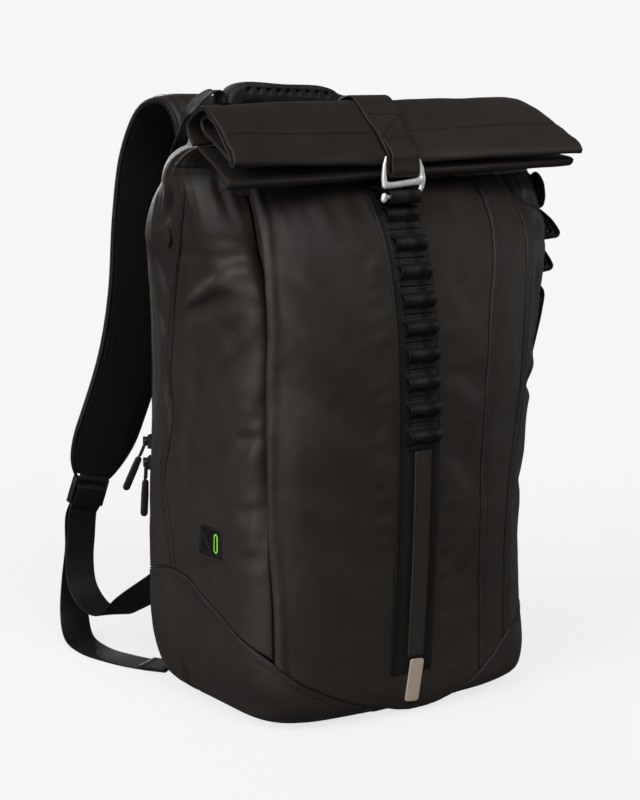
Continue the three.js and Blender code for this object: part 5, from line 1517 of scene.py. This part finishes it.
def makeShoulder(word, side):
    named = word.capitalize()
    route = [vec(side * (pads["spread"] + out * pads["width"]), backEdge + behind * pads["reach"],
                 height * bag["height"]) for out, behind, height in padRoute]
    path = curveThrough(route, 150)
    share = np.linspace(0, 1, len(path))
    path += vec(-side * pads["lean"], -pads["lean"], 0) * smooth((share - 0.30) / 0.45)[:, None]
    tip = np.clip((share - 0.90) / 0.10, 0, 1)
    foot = np.clip(share / 0.06, 0, 1)
    wide = pads["width"] * mix(0.88, 1, smooth(share / 0.4)) * np.sqrt(1 - 0.72 * tip * tip)
    thick = pads["thick"] * mix(0.5, 1, foot) * mix(1, 0.6, tip)
    _, across, up = framesOf(path, vec(1, 0, 0))
    run = lengthsAlong(path)
    columns = 44
    s = np.cos(np.linspace(0, math.pi, columns))
    crown = (0.20 + 0.30 * (1 - np.abs(s) ** 3.0) ** 0.6)
    rib = 0.35 * ripple(run[:, None] / 30, s[None, :] * 2 + 9 * side, 81)
    upper = crown[None, :] * thick[:, None] + rib
    lower = -crown[None, :] * thick[:, None] + rib
    grids = []
    for height in (upper, lower[:, ::-1]):
        a = s if height is upper else s[::-1]
        grids.append(path[:, None] + across[:, None] * (a[None, :, None] * wide[:, None, None] / 2)
                     + up[:, None] * height[..., None])
    shape = newShape()
    outer = np.concatenate([grids[0], grids[1][:, 1:-1]], axis=1)
    u = np.concatenate([s, 2 - s[::-1][1:-1]])[None, :] * wide[:, None] / 2
    uv = np.stack([u, np.broadcast_to(run[:, None], u.shape)], axis=-1)
    looks = np.where(np.arange(outer.shape[1]) < columns - 1, 0, 1)[None, :] + np.zeros((len(path) - 1, 1), int)
    addTube(shape, outer, uv, flip=True)
    shape["looks"][0] = looks.ravel()
    pad = makePiece(f"shoulderPad{named}", shape, [airMesh, cloth], stands=(f"shoulder_pad_{word}",))
    puffPad(pad, path, across, up, wide)
    binding = newShape()
    for sign in (-1, 1):
        edge = path + across * (sign * (wide / 2 - 0.2))[:, None]
        _, a2, u2 = framesOf(edge, vec(1, 0, 0))
        size = 0.26 * thick
        ring = [edge + a2 * (1.5 * math.cos(t)) + u2 * (size * math.sin(t))[:, None]
                for t in np.linspace(0, 2 * math.pi, 12, endpoint=False)]
        addTube(binding, np.stack(ring, axis=1), flatUv(np.stack(ring, axis=1)), flip=True)
    for height, sign in ((upper, 1), (lower, -1)):
        for edgeSide in (-1, 1):
            offset = edgeSide * (wide / 2 - 7.5)
            at = int(np.argmin(np.abs(s - edgeSide * 0.77)))
            row = path + across * offset[:, None] + up * (height[:, at] + sign * 0.2)[:, None]
            addStitches(binding, row[6:-8], up[6:-8] * sign)
    makePiece(f"padBinding{named}", binding, fineWebbing)

    along = unit(route[-1] - route[-2])
    lockMiddle = path[-1] + along * (pads["lockTall"] / 2 + 0.3)
    right = unit(vec(1, 0, 0) - along * along[0])
    upward = -along
    out = np.cross(right, upward)
    lock = newShape()
    w, h, t = pads["lockWide"] / 2, pads["lockTall"] / 2, pads["lockThick"] / 2

    def placeLock(points):
        # X across, Y through the buckle, Z up along the strap
        return lockMiddle + points[..., :1] * right + points[..., 1:2] * -out + points[..., 2:] * upward

    slot = pads["lash"] / 2 + 1
    for low, high in ((-w, -slot), (slot, w)):
        addRoundedBox(lock, (low, -t, -h), (high, t, h), 1.5, placeLock)
    for low, high in ((h - 4, h), (2.4, h - 8.5), (-h + 8.5, -2.6), (-h, -h + 4)):
        addRoundedBox(lock, (-slot - 1, -t * 0.8, low), (slot + 1, t * 0.8, high), 1.3, placeLock)
    makePiece(f"ladderLock{named}", lock, plastic, stands=(f"ladder_lock_{word}",))

    # the webbing runs through the lock, over its bars
    lashing = newShape()
    through = [lockMiddle + upward * z + out * y for z, y in
               ((h - 3.5, -1.0), (h - 6.5, 1.5), (h - 9.5, t + 1.2), (0, t + 1.6), (-h + 4, t + 1.4),
                (-h, t + 0.6), (-h - 5, 2.0))]
    addRibbon(lashing, curveThrough(through, 40), right, pads["lash"], 1.4, 14, 0.20, 42)
    rear = [lockMiddle + upward * z - out * 1.8 for z in (h - 4.5, 0, -h + 2)]
    addRibbon(lashing, curveThrough(rear, 12), right, pads["lash"] + 1.6, 0.8, 14, 0.15, 42)
    stub = [lockMiddle + upward * z + out * y for z, y in
            ((h + 6, 0), (h + 1, 2.4), (h - 2, 3.4), (h - 4.6, 2.0), (h - 5.2, 0))]
    addRibbon(lashing, curveThrough(stub, 20), right, pads["lash"], 1.4, 14, 0.20, 42)
    makePiece(f"lockWebbing{named}", lashing, fineWebbing)

    start = lockMiddle + along * (pads["lockTall"] / 2 + 0.7)
    hung = onBody(side * 3.24, 0.205, 9.0)

    def inward(part):
        return start[0] - side * part * pads["lash"]

    def turnAt(count):
        return right + (vec(1, 0, 0) - right) * smooth(np.linspace(0, 1, count) / 0.3)[:, None]

    lowerPoints = [start + vec(0, -1.6, 0), start + along * 7 + vec(0, -1.8, 0)]
    lowerPoints += [vec(inward(p), mix(start[1], hung[1], back), start[2] * high) for p, back, high in lowerRoute]
    lowerPoints += [hung, onBody(side * 3.24, 0.232, pads["lashThick"] + 1),
                    onBody(side * 3.24, 0.255, pads["lashThick"] + 0.6)]
    shape = newShape()
    turned = smooth((np.linspace(0, 1, 101) - 0.45) / 0.35)[:, None] * vec(0, 0, -0.9)
    addRibbon(shape, curveThrough(lowerPoints, 100), turnAt(101) + turned * side * -1, pads["lash"],
              pads["lashThick"], 14, 0.16, 42)
    makePiece(f"lowerWebbing{named}", shape, fineWebbing, stands=(f"lower_webbing_{word}",))
    flat = pads["lashThick"] / 2 + 0.6
    tailPoints = [start + vec(0, 1.6, 0), start + along * 9 + vec(0, 3, 0)]
    tailPoints += [vec(inward(p), start[1] + back * pads["reach"], start[2] * high) for p, back, high in tailRoute]
    tailPoints += [vec(inward(p), start[1] + back * pads["reach"], flat) for p, back in tailOnFloor]
    tail = curveThrough(tailPoints, 120)
    shape = newShape()
    addRibbon(shape, tail, turnAt(121), pads["lash"], pads["lashThick"], 14, 0.16, 42)
    hem = tail[-13:] + vec(0, 0, 1.9)
    addRibbon(shape, hem, vec(1, 0, 0), pads["lash"], 1.5, 14, 0.16, 42)
    rows = newShape()
    x = np.linspace(-13, 13, 24)[:, None]
    _, sideWay, _ = framesOf(hem, vec(1, 0, 0))
    for k in (2, 10):
        addStitches(rows, hem[k] + sideWay[k] * x + vec(0, 0, 0.9), vec(0, 0, 1))
    makePiece(f"strapTail{named}", shape, fineWebbing, stands=(f"strap_tail_{word}",))
    makePiece(f"tailStitching{named}", rows, thread)


for word, side in (("left", -1), ("right", 1)):
    makeGripTab(word, side)
    makeShoulder(word, side)
print("grip and shoulder straps made")


def makeYoke():
    # sewn strip over the feet of the pads
    shape = newShape()
    s = np.linspace(-1, 1, 121)[None, :]
    z = np.linspace(0, 1, 12)[:, None]
    x = s * 108
    share = (424 + 16 * z) / bag["height"] + 0 * s
    place = 4 - placeOnFront(x, share)
    overPad = bump(np.maximum(np.abs(np.abs(x) - pads["spread"]) - 24, 0), 7)
    edge = np.sqrt(np.clip(1 - (2 * z - 1) ** 6, 0, 1))
    rise = 1.0 + 7.5 * overPad * smooth(z * 1.4)
    outer = onBody(place, share, rise + 1.3 * edge)
    inner = onBody(place, share, rise - 0.6 + 0 * s)
    grid = np.concatenate([outer, inner[::-1]], axis=0)
    addGrid(shape, grid, flatUv(grid))
    makePiece("backYoke", shape, webbing)


makeYoke()


# --- side webbing ---

sideLoops = [("side_arch", 0.989, 0.932, 4), ("side_leaf_1", 0.919, 0.870, 21),
             ("side_leaf_2", 0.859, 0.804, 20), ("side_lash", 0.793, 0.527, 16)]
for name, top, bottom, stand in sideLoops:
    middle, half = (top + bottom) / 2, (top - bottom) / 2
    if "leaf" in name:
        profile = [(1.25, 0), (0.98, 0.25), (0.6, 0.58), (0.1, 0.90),
                   (-0.16, 1.0), (-0.36, 0.95), (-0.62, 0.62), (-1, 0)]
    elif name == "side_lash":
        profile = [(1, 0), (0.95, 0.55), (0.86, 0.95), (0.6, 1.0), (0.2, 0.85), (-0.2, 0.62), (-0.7, 0.2), (-1, 0)]
    else:
        profile = [(1, 0), (0.92, 0.45), (0.45, 0.95), (0, 1.02), (-0.45, 0.95), (-0.92, 0.45), (-1, 0)]
    controls = [onBody(1.55, middle + a * half, 0.9 + o * stand) for a, o in profile]
    shape = newShape()
    addRibbon(shape, curveThrough(controls, 60), vec(0, 1, 0), 20, 1.8, 10, 0.2, 30)
    for size in (0.74, 0.46) if "leaf" in name else ():
        inner = [onBody(1.55, middle + (a * size - 0.08) * half, 0.9 + o * stand * size) for a, o in profile]
        addRibbon(shape, curveThrough(inner, 30), vec(0, 1, 0), 19, 1.8, 10, 0.2, 30)
    makePiece("side" + name[5:].capitalize().replace("_", ""), shape, webbing, stands=(name,))


# --- zip ---

zipper = {"width": 9, "top": 398, "bottom": 165, "thick": 1.4, "place": -2.96, "pitch": 1.9}


def makeZip():
    shape = newShape()

    def where(s):
        return zipper["place"] + s * zipper["width"] / 2 / bag["halfDepth"]

    surfaceStrip(shape, 0, zipper["width"], zipper["top"], zipper["bottom"], 0.5, 0.9, 19, 120, place=where)
    makePiece("zipTape", shape, fineWebbing, stands=("zip",))
    coils = newShape()
    z = np.arange(zipper["bottom"] + 2, zipper["top"] - 2, zipper["pitch"])
    for sign in (-1, 1):
        for level in z + (0.5 * zipper["pitch"] if sign > 0 else 0):
            share = level / bag["height"]
            place = zipper["place"]
            out = sectionNormal(np.array(place), np.array(share))
            sideways = unit(np.cross(vec(0, 0, 1), out))
            centre = onBody(np.array(place), np.array(share), 1.5) + sideways * sign * 0.9
            rings = []
            for k in (-1.0, -0.8, 0.0, 0.8, 1.0):
                size = 0.62 * math.sqrt(max(1 - k * k, 0.06))
                rings.append([centre + sideways * (1.6 * k)
                              + size * (vec(0, 0, 1) * math.cos(t) + out * 0.8 * math.sin(t))
                              for t in np.linspace(0, 2 * math.pi, 6, endpoint=False)])
            addTube(coils, np.array(rings))
    makePiece("zipCoil", coils, plastic)


makeZip()


def dressMetal(name, look, width):
    # a CAD part with its edges rounded and a finish of its own
    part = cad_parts[name]
    part.data.materials.clear()
    part.data.materials.append(look)
    rounding = part.modifiers.new("rounded", "BEVEL")
    rounding.width, rounding.segments = width * mm, 3
    rounding.limit_method, rounding.angle_limit = "ANGLE", math.radians(35)
    part.data.polygons.foreach_set("use_smooth", np.ones(len(part.data.polygons), bool))


puller = {"width": 6.7, "thick": 3.4, "turn": 62}


def makePuller(k):
    # a moulded tab on its link, turned about its own length
    name = f"puller_tab_{k}"
    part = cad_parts[name]
    points = np.array([tuple(part.matrix_world @ v.co) for v in part.data.vertices]) / mm
    centre = (points.max(axis=0) + points.min(axis=0)) / 2
    _, _, ways = np.linalg.svd(points - points.mean(axis=0))
    length = ways[0] if ways[0][2] > 0 else -ways[0]
    run = (points - centre) @ length
    low, high = run.min(), run.max()
    wide = unit(np.cross(length, ways[2]))
    flat = np.cross(length, wide)
    angle = math.radians(puller["turn"])
    viewRight = vec(0.82, -0.57, 0)     # to the right in the photo
    if wide @ viewRight < 0:
        wide, flat = -wide, -flat
    best = max((angle, -angle), key=lambda a: abs((wide * math.cos(a) + flat * math.sin(a)) @ viewRight))
    right = wide * math.cos(best) + flat * math.sin(best)
    out = np.cross(length, right)
    rings = []
    steps = np.concatenate([low + 3.4 * (1 - np.cos(np.linspace(0.15, 1.5, 7))),
                            np.linspace(low + 4.5, high - 3.4, 24),
                            high - 3.0 * (1 - np.cos(np.linspace(1.4, 0.2, 6)))])
    for at in steps:
        end = min(at - low, high - at)
        size = math.sqrt(max(1 - (1 - min(end / 3.4, 1)) ** 2, 0.02))
        neck = 1 - 0.10 * float(smooth((at - high + 13) / 8))
        rib = (0.28 * math.cos(2 * math.pi * at / 2.6) * float(smooth((high - 12 - at) / 3))
               * float(smooth((at - low - 4) / 3)))
        a = np.linspace(0, 2 * math.pi, 28, endpoint=False)
        bend = (np.abs(np.cos(a)) ** 3 + np.abs(np.sin(a)) ** 3) ** (-1 / 3)
        rings.append(centre + length * at + right * (bend * np.cos(a) * puller["width"] / 2 * size * neck)[:, None]
                     + out * (bend * np.sin(a) * (puller["thick"] / 2 * (0.4 + 0.6 * size) + rib))[:, None])
    shape = newShape()
    addTube(shape, np.array(rings))
    makePiece(f"pullerTab{k}", shape, plastic, f"puller_{k}", (name,))


for k in (1, 2):
    dressMetal(f"zip_slider_{k}", darkMetal, 0.5)
    dressMetal(f"puller_link_{k}", darkMetal, 0.5)
    makePuller(k)
print("side webbing and zip made")


# --- stage, light and camera ---

studio = {
    "floor": 0.16, "glow": 0.752, "backdrop": 0.922,
    "softSide": (-0.86, -0.30, 0.42), "softLow": 0.05, "softHigh": 1.55,
    "lens": 83.925, "cameraAt": (-0.92826, -1.31859, 0.550), "aimAt": (-0.022, 0.0, 0.262),
}


def makeStage():
    mesh = bpy.data.meshes.new("floor")
    size = 60.0
    mesh.from_pydata([(-size, -size, 0), (size, -size, 0), (size, size, 0), (-size, size, 0)], [], [(0, 1, 2, 3)])
    floor = bpy.data.objects.new("floor", mesh)
    bpy.context.scene.collection.objects.link(floor)
    look, _, shader = newMaterial("pale_floor", (studio["floor"],) * 3, 0.9, specular=0.0)
    shader.inputs["Emission Color"].default_value = (1, 1, 1, 1)
    shader.inputs["Emission Strength"].default_value = studio["glow"]
    mesh.materials.append(look)
    floor.location.z = -0.0002
    floor.visible_diffuse = False
    floor.visible_glossy = False
    # backdrop: a plain pale wall round the set
    turn = np.linspace(0, 2 * math.pi, 49)[:-1]
    wall = newShape()
    far, low, high = 58000, -3000, 30000
    addGrid(wall, [[(far * math.cos(a), far * math.sin(a), z) for a in turn] for z in (low, high)], around=True)
    addFan(wall, 48, 48)
    mesh = bpy.data.meshes.new("backdrop")
    mesh.from_pydata((np.vstack(wall["points"]) * mm).tolist(), [], wall["faces"])
    backdrop = bpy.data.objects.new("backdrop", mesh)
    bpy.context.scene.collection.objects.link(backdrop)
    look, _, shader = newMaterial("pale_backdrop", (0, 0, 0), 1.0, specular=0.0)
    shader.inputs["Emission Color"].default_value = (1, 1, 1, 1)
    shader.inputs["Emission Strength"].default_value = studio["backdrop"]
    mesh.materials.append(look)
    for way in ("visible_diffuse", "visible_glossy", "visible_shadow", "visible_transmission"):
        setattr(backdrop, way, False)


def addSun(name, direction, strength, angle):
    light = bpy.data.lights.new(name, "SUN")
    light.energy, light.angle = strength, math.radians(angle)
    lamp = bpy.data.objects.new(name, light)
    lamp.rotation_mode = "QUATERNION"
    lamp.rotation_quaternion = Vector(direction).to_track_quat("Z", "Y")
    bpy.context.scene.collection.objects.link(lamp)


def makeLight():
    world = bpy.context.scene.world or bpy.data.worlds.new("studio")
    bpy.context.scene.world = world
    world.use_nodes = True
    tree = world.node_tree
    back = tree.nodes.get("Background")
    back.inputs[0].default_value = (1, 1, 1, 1)
    coords = tree.nodes.new("ShaderNodeTexCoord")
    facing = tree.nodes.new("ShaderNodeVectorMath")
    facing.operation = "DOT_PRODUCT"
    facing.inputs[1].default_value = Vector(studio["softSide"]).normalized()
    tree.links.new(coords.outputs["Generated"], facing.inputs[0])
    glow = remap(tree, facing.outputs["Value"], studio["softLow"], studio["softHigh"], 0.40, 0.88)
    tree.links.new(glow, back.inputs[1])
    addSun("keyLight", (-1.0, -0.26, 0.66), 1.15, 26)
    addSun("frontLight", (-0.15, -1.0, 0.85), 1.6, 36)
    addSun("backLight", (0.15, 1.0, 0.22), 1.3, 30)
    addSun("rightLight", (1.0, -0.20, 0.04), 0.26, 30)


def makeCamera():
    data = bpy.data.cameras.new("camera")
    data.lens, data.sensor_width, data.sensor_fit = studio["lens"], 36, "AUTO"
    camera = bpy.data.objects.new("camera", data)
    camera.location = studio["cameraAt"]
    camera.rotation_mode = "QUATERNION"
    camera.rotation_quaternion = (Vector(studio["aimAt"]) - Vector(studio["cameraAt"])).to_track_quat("-Z", "Y")
    bpy.context.scene.collection.objects.link(camera)
    bpy.context.scene.camera = camera


makeStage()
makeLight()
makeCamera()
bpy.context.scene.view_settings.view_transform = "Standard"
print("stage, light and camera made")
